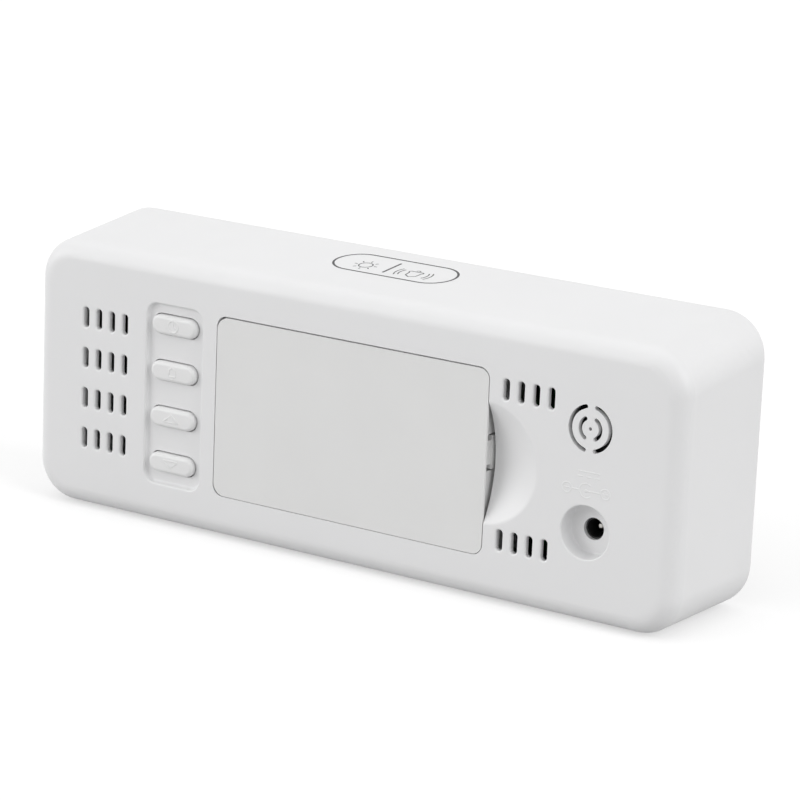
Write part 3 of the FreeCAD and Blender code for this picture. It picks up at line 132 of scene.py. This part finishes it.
def softOutline(corners, radius, steps, closed):
    # a chain of corners with each turn replaced by an arc tangent to its two sides
    corners = np.asarray(corners, float)
    path = []
    for k, corner in enumerate(corners):
        if not closed and k in (0, len(corners) - 1):
            path.append(corner[None, :])
            continue
        toLast = corners[k - 1] - corner
        toNext = corners[(k + 1) % len(corners)] - corner
        toLast, toNext = toLast / np.linalg.norm(toLast), toNext / np.linalg.norm(toNext)
        half = math.acos(float(np.clip(toLast @ toNext, -1, 1))) / 2
        middle = (toLast + toNext) / np.linalg.norm(toLast + toNext)
        centre = corner + middle * radius / math.sin(half)
        first = corner + toLast * radius / math.tan(half) - centre
        last = corner + toNext * radius / math.tan(half) - centre
        a0, a1 = math.atan2(first[1], first[0]), math.atan2(last[1], last[0])
        a1 = a0 + (a1 - a0 + math.pi) % (2 * math.pi) - math.pi
        path.append(arcPath(centre, radius, math.degrees(a0), math.degrees(a1), steps))
    return np.concatenate(path)


def pathFrame(path, closed):
    # unit direction along a flat path, and the normal to its left, by central differences
    if closed:
        along = np.roll(path, -1, 0) - np.roll(path, 1, 0)
    else:
        along = np.gradient(path, axis=0)
    along = along / np.linalg.norm(along, axis=1)[:, None]
    return along, np.stack([-along[:, 1], along[:, 0]], 1)


def raisedLine(path, width, height, closed):
    # tube of elliptical section half sunk in its face: C(s) + N(s) * width/2 * cos t, height * sin t
    # round an open end the section runs on by width/2 * sin p and is scaled by cos p
    along, across = pathFrame(path, closed)
    scale = np.ones(len(path))
    if not closed:
        p = np.radians(np.array(lineEnds))
        head = path[0] - along[0] * (width / 2 * np.sin(p))[::-1, None]
        tail = path[-1] + along[-1] * (width / 2 * np.sin(p))[:, None]
        path = np.concatenate([head, path, tail])
        atHead, atTail = np.repeat(across[:1], len(p), 0), np.repeat(across[-1:], len(p), 0)
        across = np.concatenate([atHead, across, atTail])
        scale = np.concatenate([np.cos(p)[::-1], scale, np.cos(p)])
    t = np.linspace(0, 2 * math.pi, lineSides, endpoint=False)
    flat = path[:, None, :] + across[:, None, :] * (scale[:, None] * width / 2 * np.cos(t))[..., None]
    lift = scale[:, None] * height * np.sin(t)[None, :]
    points = np.concatenate([flat, lift[..., None]], -1).reshape(-1, 3)
    faces = gridFaces(len(path), len(t), closed, True).tolist()
    if not closed:
        first, last = list(range(len(t))), list(range(len(points) - len(t), len(points)))
        faces += [first[::-1], last]
    return points, faces


def printedLine(path, width, closed):
    # flat ribbon: C(s) + N(s) * q, q from -width/2 to width/2
    along, across = pathFrame(path, closed)
    q = np.array([width / 2, -width / 2])
    flat = path[:, None, :] + across[:, None, :] * q[None, :, None]
    points = np.concatenate([flat, np.zeros(flat.shape[:2] + (1,))], -1).reshape(-1, 3)
    return points, gridFaces(len(path), 2, closed, False).tolist()


def printedPatch(outline):
    # filled flat shape: one face inside the outline
    points = np.concatenate([outline, np.zeros((len(outline), 1))], 1)
    return points, [list(range(len(outline)))]


def onFace(shape, origin, right, up, out):
    # flat shape (a, b, lift) carried to origin + a * right + b * up + lift * out
    points, faces = shape
    turn = np.array([right, up, out], float)
    points = points @ turn + np.asarray(origin, float)
    if np.linalg.det(turn) < 0:
        faces = [list(face)[::-1] for face in faces]
    return points, faces


print("shape functions ready")


midRange = (0.3, 0.7)  # where most of a noise texture's values lie
cloudDetail, grainDetail = 2, 3
plasticIor = 1.5


def startMaterial(name):
    material = bpy.data.materials.new(name)
    material.use_nodes = True
    tree = material.node_tree
    tree.nodes.clear()
    output = tree.nodes.new("ShaderNodeOutputMaterial")
    shader = tree.nodes.new("ShaderNodeBsdfPrincipled")
    tree.links.new(shader.outputs["BSDF"], output.inputs["Surface"])
    where = tree.nodes.new("ShaderNodeTexCoord")
    return material, tree, shader, where


def noiseAt(tree, where, scale, detail):
    noise = tree.nodes.new("ShaderNodeTexNoise")
    noise.inputs["Scale"].default_value = scale
    noise.inputs["Detail"].default_value = detail
    tree.links.new(where.outputs["Object"], noise.inputs["Vector"])
    return noise


def spread(tree, source, low, high):
    # carries a texture's middle range to low..high
    span = tree.nodes.new("ShaderNodeMapRange")
    span.inputs["From Min"].default_value, span.inputs["From Max"].default_value = midRange
    span.inputs["To Min"].default_value, span.inputs["To Max"].default_value = low, high
    tree.links.new(source, span.inputs["Value"])
    return span.outputs["Result"]


def tint(tree, source, colourA, colourB):
    mix = tree.nodes.new("ShaderNodeMix")
    mix.data_type = "RGBA"
    mix.inputs["A"].default_value = (*colourA, 1)
    mix.inputs["B"].default_value = (*colourB, 1)
    tree.links.new(source, mix.inputs["Factor"])
    return mix.outputs["Result"]


def roughen(tree, shader, source, height, strength):
    bump = tree.nodes.new("ShaderNodeBump")
    bump.inputs["Distance"].default_value = height
    bump.inputs["Strength"].default_value = strength
    tree.links.new(source, bump.inputs["Height"])
    tree.links.new(bump.outputs["Normal"], shader.inputs["Normal"])


def mouldedPlastic(name, look):
    # a moulding: faint clouding of the colour, sheen that varies a little, fine grain in relief
    material, tree, shader, where = startMaterial(name)
    cloud = noiseAt(tree, where, look["clouds"], cloudDetail)
    grain = noiseAt(tree, where, look["grain"], grainDetail)
    colour = tint(tree, spread(tree, cloud.outputs["Fac"], 0, 1), look["colour"], look["colourToo"])
    tree.links.new(colour, shader.inputs["Base Color"])
    smoothest, roughest = look["rough"] - look["roughBy"], look["rough"] + look["roughBy"]
    tree.links.new(spread(tree, cloud.outputs["Fac"], smoothest, roughest), shader.inputs["Roughness"])
    shader.inputs["IOR"].default_value = plasticIor
    shader.inputs["Metallic"].default_value = look.get("metal", 0.0)
    roughen(tree, shader, grain.outputs["Fac"], look["grainHeight"], look["grainStrength"])
    return material


def lensAcrylic(name, look):
    # smoke-tinted sheet: clear enough for the lit digits, near black elsewhere
    material, tree, shader, where = startMaterial(name)
    haze = noiseAt(tree, where, look["haze"], cloudDetail)
    rough = spread(tree, haze.outputs["Fac"], look["rough"], look["rough"] + look["roughBy"])
    tree.links.new(rough, shader.inputs["Roughness"])
    colour = tint(tree, haze.outputs["Fac"], look["colour"], look["colourToo"])
    tree.links.new(colour, shader.inputs["Base Color"])
    shader.inputs["Transmission Weight"].default_value = 1.0
    shader.inputs["IOR"].default_value = look["ior"]
    return material


finishes = {
    "white_shell": {
        "colour": (0.80, 0.80, 0.805), "colourToo": (0.79, 0.79, 0.795), "clouds": 60.0,
        "rough": 0.42, "roughBy": 0.03, "grain": 5200.0, "grainHeight": 0.00002, "grainStrength": 0.25,
    },
    "door_plastic": {
        "colour": (0.77, 0.77, 0.765), "colourToo": (0.755, 0.755, 0.75), "clouds": 70.0,
        "rough": 0.5, "roughBy": 0.03, "grain": 5200.0, "grainHeight": 0.00002, "grainStrength": 0.3,
    },
    "key_plastic": {
        "colour": (0.80, 0.80, 0.80), "colourToo": (0.79, 0.79, 0.79), "clouds": 90.0,
        "rough": 0.4, "roughBy": 0.03, "grain": 5200.0, "grainHeight": 0.00002, "grainStrength": 0.2,
    },
    "black_plastic": {
        "colour": (0.012, 0.012, 0.013), "colourToo": (0.02, 0.02, 0.02), "clouds": 300.0,
        "rough": 0.4, "roughBy": 0.06, "grain": 4000.0, "grainHeight": 0.00003, "grainStrength": 0.4,
    },
    "switch_case": {
        "colour": (0.02, 0.02, 0.02), "colourToo": (0.03, 0.03, 0.03), "clouds": 400.0,
        "rough": 0.45, "roughBy": 0.05, "grain": 4000.0, "grainHeight": 0.00003, "grainStrength": 0.3,
    },
    "plunger_plastic": {
        "colour": (0.05, 0.05, 0.05), "colourToo": (0.07, 0.07, 0.07), "clouds": 500.0,
        "rough": 0.4, "roughBy": 0.05, "grain": 4000.0, "grainHeight": 0.00002, "grainStrength": 0.3,
    },
    "adhesive": {
        "colour": (0.02, 0.02, 0.02), "colourToo": (0.035, 0.035, 0.035), "clouds": 600.0,
        "rough": 0.8, "roughBy": 0.08, "grain": 2500.0, "grainHeight": 0.0001, "grainStrength": 0.6,
    },
    "display_glass": {
        "colour": (0.006, 0.006, 0.008), "colourToo": (0.009, 0.009, 0.011), "clouds": 50.0,
        "rough": 0.12, "roughBy": 0.03, "grain": 900.0, "grainHeight": 0.000002, "grainStrength": 0.1,
    },
    "light_guide": {
        "colour": (0.75, 0.77, 0.78), "colourToo": (0.70, 0.72, 0.74), "clouds": 80.0,
        "rough": 0.25, "roughBy": 0.05, "grain": 2000.0, "grainHeight": 0.00001, "grainStrength": 0.2,
    },
    "grey_rubber": {
        "colour": (0.10, 0.10, 0.10), "colourToo": (0.14, 0.14, 0.14), "clouds": 400.0,
        "rough": 0.8, "roughBy": 0.06, "grain": 3000.0, "grainHeight": 0.00006, "grainStrength": 0.5,
    },
    "circuit_board": {
        "colour": (0.012, 0.11, 0.035), "colourToo": (0.02, 0.15, 0.05), "clouds": 350.0,
        "rough": 0.35, "roughBy": 0.05, "grain": 2200.0, "grainHeight": 0.00003, "grainStrength": 0.3,
    },
    "resin": {
        "colour": (0.008, 0.008, 0.008), "colourToo": (0.014, 0.014, 0.014), "clouds": 300.0,
        "rough": 0.2, "roughBy": 0.05, "grain": 800.0, "grainHeight": 0.00005, "grainStrength": 0.4,
    },
    "can_metal": {
        "colour": (0.62, 0.62, 0.63), "colourToo": (0.55, 0.55, 0.57), "clouds": 500.0, "metal": 1.0,
        "rough": 0.28, "roughBy": 0.06, "grain": 3000.0, "grainHeight": 0.00001, "grainStrength": 0.2,
    },
    "contact_metal": {
        "colour": (0.58, 0.57, 0.54), "colourToo": (0.50, 0.49, 0.46), "clouds": 600.0, "metal": 1.0,
        "rough": 0.3, "roughBy": 0.08, "grain": 3500.0, "grainHeight": 0.00001, "grainStrength": 0.3,
    },
    "screw_steel": {
        "colour": (0.45, 0.45, 0.46), "colourToo": (0.38, 0.38, 0.39), "clouds": 900.0, "metal": 1.0,
        "rough": 0.35, "roughBy": 0.08, "grain": 4000.0, "grainHeight": 0.00001, "grainStrength": 0.3,
    },
    "print_ink": {
        "colour": (0.02, 0.02, 0.022), "colourToo": (0.035, 0.035, 0.038), "clouds": 500.0,
        "rough": 0.45, "roughBy": 0.05, "grain": 6000.0, "grainHeight": 0.00001, "grainStrength": 0.2,
    },
}
lensLook = {
    "colour": (0.16, 0.165, 0.17), "colourToo": (0.15, 0.155, 0.16), "haze": 40.0,
    "rough": 0.02, "roughBy": 0.01, "ior": 1.49,
}
finishOf = {name: mouldedPlastic(name, look) for name, look in finishes.items()}
finishOf["front_acrylic"] = lensAcrylic("front_acrylic", lensLook)
print("finishes made:", len(finishOf))

slotOf = {entry["node"]: entry["material_slot"] for entry in frame["record"]["subparts"]}
for name, piece in nodes.items():
    piece.data.materials.clear()
    piece.data.materials.append(finishOf[slotOf[name]])


# mouldings that show: the solid's own mesh, merged and shaded smooth up to its real edges
smoothEdges = {
    "rear_housing": 34.0,  # degrees: a sharper fold than this stays an edge
    "battery_door": 34.0,
    "key_time": 34.0,
    "key_alarm": 34.0,
    "key_up": 34.0,
    "key_down": 34.0,
    "dc_jack": 34.0,
    "jack_pin": 50.0,
    "front_lens": 34.0,
    "foot_1": 40.0,
    "foot_2": 40.0,
    "foot_3": 40.0,
    "foot_4": 40.0,
}
mergeWithin = 2e-7  # m
faceWeight = 60
bodies = frame["record"]["behaviour"]["bodies"]
bodyOf = {node: body for body, members in bodies.items() for node in members}


def smoothMoulding(node, angle):
    mesh = nodes[node].data.copy()
    if "custom_normal" in mesh.attributes:
        mesh.attributes.remove(mesh.attributes["custom_normal"])
    work = bmesh.new()
    work.from_mesh(mesh)
    bmesh.ops.remove_doubles(work, verts=work.verts, dist=mergeWithin)
    for edge in work.edges:
        edge.smooth = len(edge.link_faces) == 2 and edge.calc_face_angle() < math.radians(angle)
    for face in work.faces:
        face.smooth = True
    work.to_mesh(mesh)
    work.free()
    piece = bpy.data.objects.new(node + ".smooth", mesh)
    bpy.context.scene.collection.objects.link(piece)
    weigh = piece.modifiers.new("faceWeights", "WEIGHTED_NORMAL")
    weigh.mode, weigh.keep_sharp, weigh.weight = "FACE_AREA", True, faceWeight
    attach(piece, bodyOf[node])
    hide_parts(node)
    return piece


for node, angle in smoothEdges.items():
    smoothMoulding(node, angle)
print("mouldings smoothed:", len(smoothEdges))


# raised marks on the back and on the keys; seen from behind, right is -X
backFace = {"right": (-1, 0, 0), "up": (0, 0, 1), "out": (0, 1, 0)}


def onBack(shape, x, y, z):
    return onFace(shape, (x, y, z), backFace["right"], backFace["up"], backFace["out"])


keyMarks = {
    "line": 0.36,
    "height": 0.09,
    "dial": 1.22,
    "hands": ((0, 0.66), (0, 0), (0.5, -0.2)),  # in shares of the dial's radius
    "handTurn": 0.1,
    "bell": 2.5,
    "bellSide": ((-0.52, -0.30), (-0.33, -0.12), (-0.30, 0.26), (0, 0.46)),  # rim to crown, shares of bell
    "bellTurn": 0.25,
    "clapper": 0.13,
    "clapperAt": -0.38,
    "clapperArc": (200, 340),
    "arrowWide": 3.9,
    "arrowHigh": 1.55,
    "arrowTurn": 0.12,
}


def nodeFace(node):
    low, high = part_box(node)
    middle = (low + high) / 2 / mm
    return middle.x, high.y / mm, middle.z


def bothSides(side):
    # a bell's left side, and its mirror image after the crown
    return list(side) + [(-x, y) for x, y in side[-2::-1]]


def keyMark(node, name, lines):
    x, y, z = nodeFace(node)
    shapes = [raisedLine(path, keyMarks["line"], keyMarks["height"], closed) for path, closed in lines]
    mark = onBack(joinShapes(shapes), x, y, z)
    return putPiece(name, mark, bodyOf[node], finishOf["key_plastic"])


def dialMark(look):
    hands = [(x * look["dial"], y * look["dial"]) for x, y in look["hands"]]
    keyMark("key_time", "dial_mark", [
        (arcPath((0, 0), look["dial"], 0, ringEnd, 48), True),
        (softOutline(hands, look["handTurn"], 4, False), False),
    ])


def bellMark(look):
    bell = look["bell"]
    outline = [(x * bell, y * bell) for x, y in bothSides(look["bellSide"])]
    keyMark("key_alarm", "bell_mark", [
        (softOutline(outline, look["bellTurn"], 6, True), True),
        (arcPath((0, bell * look["clapperAt"]), bell * look["clapper"], *look["clapperArc"], 8), False),
    ])


def arrowMark(look, node, name, way):
    # a triangle that points up for way 1 and down for way -1
    halfWide, halfHigh = look["arrowWide"] / 2, look["arrowHigh"] / 2
    corners = [(-halfWide, -halfHigh * way), (halfWide, -halfHigh * way), (0, halfHigh * way)]
    keyMark(node, name, [(softOutline(corners, look["arrowTurn"], 5, True), True)])


dialMark(keyMarks)
bellMark(keyMarks)
arrowMark(keyMarks, "key_up", "up_mark", 1)
arrowMark(keyMarks, "key_down", "down_mark", -1)
print("key marks done")

plugMarks = {
    "line": 0.32,
    "height": 0.05,
    "polarity": (-56.6, 26.74),  # x, z of the middle, mm
    "ring": 1.0,
    "ringAt": 4.2,
    "cup": 1.42,
    "cupArc": (50, 310),
    "sign": 0.5,
    "dot": 0.12,
    "dotLine": 0.5,
    "steady": (-57.06, 29.95),
    "steadyWide": 4.6,
    "steadyRise": 0.5,
}


def onHousing(shape, name, place):
    x, z = place
    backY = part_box("rear_housing")[1].y / mm
    mark = onBack(shape, x, backY, z)
    return putPiece(name, mark, "clock", finishOf["white_shell"])


def polarityMark(look):
    # a ring with a minus and a ring with a plus, each joined to the cup or its middle dot
    ring, at, cup, sign = look["ring"], look["ringAt"], look["cup"], look["sign"]
    lines = [
        (arcPath((-at, 0), ring, 0, ringEnd, 44), True),
        (arcPath((at, 0), ring, 0, ringEnd, 44), True),
        (arcPath((0, 0), cup, *look["cupArc"], 36), False),
        (np.array([(-at + ring, 0.0), (-cup, 0.0)]), False),
        (np.array([(0.0, 0.0), (at - ring, 0.0)]), False),
        (np.array([(-at - sign, 0.0), (-at + sign, 0.0)]), False),
        (np.array([(at - sign, 0.0), (at + sign, 0.0)]), False),
        (np.array([(at, -sign), (at, sign)]), False),
    ]
    shapes = [raisedLine(path, look["line"], look["height"], closed) for path, closed in lines]
    dot = raisedLine(arcPath((0, 0), look["dot"], 0, 300, 6), look["dotLine"], look["height"], True)
    return onHousing(joinShapes(shapes + [dot]), "polarity_mark", look["polarity"])


def steadyMark(look):
    # direct current: a full line over three dashes
    wide, rise = look["steadyWide"], look["steadyRise"]
    dash = wide / 5  # three dashes and two gaps
    lines = [np.array([(-wide / 2, rise), (wide / 2, rise)])]
    for k in (-1, 0, 1):
        lines.append(np.array([(k * 2 * dash - dash / 2, -rise), (k * 2 * dash + dash / 2, -rise)]))
    shapes = [raisedLine(path, look["line"], look["height"], False) for path in lines]
    return onHousing(joinShapes(shapes), "direct_current_mark", look["steady"])


polarityMark(plugMarks)
steadyMark(plugMarks)
print("plug marks done")


# print on the top, x and y in mm over the clock's own middle
topPrint = {
    "middle": (0.16, -2.5),
    "half": (13.9, 5.3),
    "line": 0.48,
    "thin": 0.26,
    "lift": 0.012,
    "divider": ((0.87, -5.76), (0.99, 0.91)),
    "sun": (6.55, -1.4),
    "sunRing": 1.45,
    "rays": (1.95, 2.65),
    "rayCount": 8,
    "bell": (-5.0, -1.2),
    "bellWide": 4.0,
    "bellSide": ((-1, -0.72), (-0.68, -0.3), (-0.6, 0.55), (0, 1)),  # rim to crown, shares of half width
    "bellTurn": 0.35,
    "clapper": 0.25,
    "clapperAt": 0.85,
    "clapperArc": (200, 340),
    "waves": (3.15, 4.0),
    "waveHalf": 30,  # degrees each way of level
}
topSlope = {"back": (15.9, 56.0), "front": (-15.9, 59.4)}  # y, z of the top's two edges


def onTop(shape):
    # (x, y) of the print carried up to the sloping top: z = backZ + (y - backY) * rise
    (backY, backZ), (frontY, frontZ) = topSlope["back"], topSlope["front"]
    rise = (backZ - frontZ) / (backY - frontY)
    points, faces = shape
    points = points.copy()
    points[:, 2] += backZ + (points[:, 1] - backY) * rise + topPrint["lift"]
    return points, faces


def touchPrint(look):
    line, thin = look["line"], look["thin"]
    (midX, midY), (halfX, halfY) = look["middle"], look["half"]
    straight = halfX - halfY
    outline = np.concatenate([
        arcPath((midX + straight, midY), halfY, -90, 90, 40),
        arcPath((midX - straight, midY), halfY, 90, 270, 40),
    ])
    shapes = [printedLine(outline, line, True), printedLine(np.array(look["divider"]), line, False)]
    sun = np.array(look["sun"])
    shapes.append(printedLine(arcPath(sun, look["sunRing"], 0, ringEnd, 40), thin, True))
    near, far = look["rays"]
    for k in range(look["rayCount"]):
        a = k * 2 * math.pi / look["rayCount"]
        ray = np.array([(math.cos(a), math.sin(a))])
        shapes.append(printedLine(np.concatenate([ray * near, ray * far]) + sun, thin, False))
    bellX, bellY = look["bell"]
    w = look["bellWide"] / 2
    bellCorners = np.array(bothSides(look["bellSide"])) * w + look["bell"]
    shapes.append(printedLine(softOutline(bellCorners, look["bellTurn"], 6, True), thin, True))
    clapperMiddle = (bellX, bellY - look["clapperAt"] * w)
    clapper = arcPath(clapperMiddle, look["clapper"] * w, *look["clapperArc"], 8)
    shapes.append(printedLine(clapper, thin, False))
    half = look["waveHalf"]
    for side in (0, 180):
        for radius in look["waves"]:
            wave = arcPath(look["bell"], radius, side - half, side + half, 14)
            shapes.append(printedLine(wave, thin, False))
    printed = onTop(joinShapes(shapes))
    return putPiece("touch_print", printed, "clock", finishOf["print_ink"], smooth=False)


touchPrint(topPrint)
print("top print done")


# digits of the display, behind the lens
digitLook = {
    "shown": "12:30",
    "high": 24.0,
    "wide": 13.0,
    "bar": 2.7,
    "gap": 0.35,
    "step": 19.5,
    "lean": 0.09,
    "colonWide": 0.5,  # in shares of a digit's step
    "colonAt": 0.42,  # in shares of half the height
    "colonDot": 0.55,  # in shares of a bar's width
    "colour": (0.80, 0.84, 0.88),
    "dim": 0.93,
    "clouds": 120.0,
    "rough": 0.5,
    "glow": 0.35,
    "lift": 0.05,
}
litBars = {
    "0": "abcdef", "1": "bc", "2": "abdeg", "3": "abcdg", "4": "bcfg",
    "5": "acdfg", "6": "acdefg", "7": "abc", "8": "abcdefg", "9": "abcdfg",
}


def digitShine(name, look):
    material, tree, shader, where = startMaterial(name)
    even = noiseAt(tree, where, look["clouds"], cloudDetail)
    dim = tuple(c * look["dim"] for c in look["colour"])
    colour = tint(tree, even.outputs["Fac"], look["colour"], dim)
    tree.links.new(colour, shader.inputs["Base Color"])
    tree.links.new(colour, shader.inputs["Emission Color"])
    shader.inputs["Emission Strength"].default_value = look["glow"]
    shader.inputs["Roughness"].default_value = look["rough"]
    return material


def digitBar(a, b, bar, gap):
    # six-cornered bar from a to b, pointed at its ends
    a, b = np.array(a, float), np.array(b, float)
    along = (b - a) / np.linalg.norm(b - a)
    across = np.array([-along[1], along[0]]) * bar / 2
    a, b = a + along * gap, b - along * gap
    inset = along * bar / 2
    below, above = (a + inset - across, b - inset - across), (b - inset + across, a + inset + across)
    return printedPatch(np.array([a, *below, b, *above]))


def displayDigits(look):
    w, h, bar, gap = look["wide"] / 2, look["high"] / 2, look["bar"], look["gap"]
    ends = {
        "a": ((-w, h), (w, h)), "b": ((w, h), (w, 0)), "c": ((w, 0), (w, -h)), "d": ((-w, -h), (w, -h)),
        "e": ((-w, 0), (-w, -h)), "f": ((-w, h), (-w, 0)), "g": ((-w, 0), (w, 0)),
    }
    shown = look["shown"]
    widths = [look["colonWide"] if sign == ":" else 1.0 for sign in shown]
    starts = np.cumsum([0] + widths[:-1]) + np.array(widths) / 2 - sum(widths) / 2
    shapes = []
    for sign, start in zip(shown, starts):
        x = start * look["step"]
        if sign == ":":
            for z in (-h * look["colonAt"], h * look["colonAt"]):
                shapes.append(printedPatch(arcPath((x, z), bar * look["colonDot"], 0, 345, 24)))
            continue
        for letter in litBars[sign]:
            a, b = ends[letter]
            shapes.append(digitBar((x + a[0], a[1]), (x + b[0], b[1]), bar, gap))
    points, faces = joinShapes(shapes)
    points[:, 0] += points[:, 1] * look["lean"]
    low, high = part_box("lcd_panel")
    middle = (low + high) / 2 / mm
    place = (middle.x, low.y / mm - look["lift"], middle.z)
    return onFace((points, faces), place, (1, 0, 0), (0, 0, 1), (0, -1, 0))


shine = digitShine("display_digits", digitLook)
putPiece("display_digits", displayDigits(digitLook), "clock", shine, smooth=False)
print("display digits done")


# floor, light and background
studio = {
    "floorSize": 12.0,
    "floorColour": (0.5, 0.5, 0.5),
    "floorLift": 0.54,
    "sky": 0.66,
    "skySeen": 1.0,
}
softSuns = {  # where the light comes from, its strength, and how wide it is in degrees
    "overhead": {"from": (0.0, 0.0, 1.0), "strength": 0.34, "spread": 60.0},
    "behind": {"from": (0.8, 0.6, 0.1), "strength": 1.73, "spread": 50.0},
    "endOn": {"from": (-1.0, 0.1, 0.6), "strength": 1.11, "spread": 40.0},
}


def seenDirectly(tree):
    # 1 for rays that come from the camera, a reflection or a clear body; 0 for light on the object
    path = tree.nodes.new("ShaderNodeLightPath")
    first = tree.nodes.new("ShaderNodeMath")
    first.operation = "MAXIMUM"
    second = tree.nodes.new("ShaderNodeMath")
    second.operation = "MAXIMUM"
    tree.links.new(path.outputs["Is Camera Ray"], first.inputs[0])
    tree.links.new(path.outputs["Is Glossy Ray"], first.inputs[1])
    tree.links.new(first.outputs[0], second.inputs[0])
    tree.links.new(path.outputs["Is Transmission Ray"], second.inputs[1])
    return second.outputs[0]


def paleFloor(look):
    half = look["floorSize"] / 2 / mm
    points = np.array([(-half, -half, 0), (half, -half, 0), (half, half, 0), (-half, half, 0)], float)
    mesh = bpy.data.meshes.new("floor")
    mesh.from_pydata((points * mm).tolist(), [], [[0, 1, 2, 3]])
    floor = bpy.data.objects.new("floor", mesh)
    bpy.context.scene.collection.objects.link(floor)
    material = bpy.data.materials.new("pale_floor")
    material.use_nodes = True
    tree = material.node_tree
    tree.nodes.clear()
    output = tree.nodes.new("ShaderNodeOutputMaterial")
    paint = tree.nodes.new("ShaderNodeBsdfDiffuse")
    paint.inputs["Color"].default_value = (*look["floorColour"], 1)
    lift = tree.nodes.new("ShaderNodeEmission")
    strength = tree.nodes.new("ShaderNodeMath")
    strength.operation = "MULTIPLY"
    strength.inputs[1].default_value = look["floorLift"]
    both = tree.nodes.new("ShaderNodeAddShader")
    tree.links.new(seenDirectly(tree), strength.inputs[0])
    tree.links.new(strength.outputs[0], lift.inputs["Strength"])
    tree.links.new(paint.outputs[0], both.inputs[0])
    tree.links.new(lift.outputs[0], both.inputs[1])
    tree.links.new(both.outputs[0], output.inputs["Surface"])
    mesh.materials.append(material)


def softSky(look):
    world = bpy.data.worlds.new("studio")
    bpy.context.scene.world = world
    world.use_nodes = True
    tree = world.node_tree
    tree.nodes.clear()
    output = tree.nodes.new("ShaderNodeOutputWorld")
    light = tree.nodes.new("ShaderNodeBackground")
    light.inputs["Strength"].default_value = look["sky"]
    seen = tree.nodes.new("ShaderNodeBackground")
    seen.inputs["Strength"].default_value = look["skySeen"]
    for background in (light, seen):
        background.inputs["Color"].default_value = (1, 1, 1, 1)
    mix = tree.nodes.new("ShaderNodeMixShader")
    tree.links.new(seenDirectly(tree), mix.inputs[0])
    tree.links.new(light.outputs[0], mix.inputs[1])
    tree.links.new(seen.outputs[0], mix.inputs[2])
    tree.links.new(mix.outputs[0], output.inputs["Surface"])


def softSun(name, look):
    data = bpy.data.lights.new(name, "SUN")
    data.energy = look["strength"]
    data.angle = math.radians(look["spread"])
    lamp = bpy.data.objects.new(name, data)
    lamp.rotation_euler = Vector(look["from"]).to_track_quat("Z", "Y").to_euler()
    bpy.context.scene.collection.objects.link(lamp)


paleFloor(studio)
softSky(studio)
for name, look in softSuns.items():
    softSun(name, look)
bpy.context.scene.view_settings.view_transform = "Standard"
print("studio set")
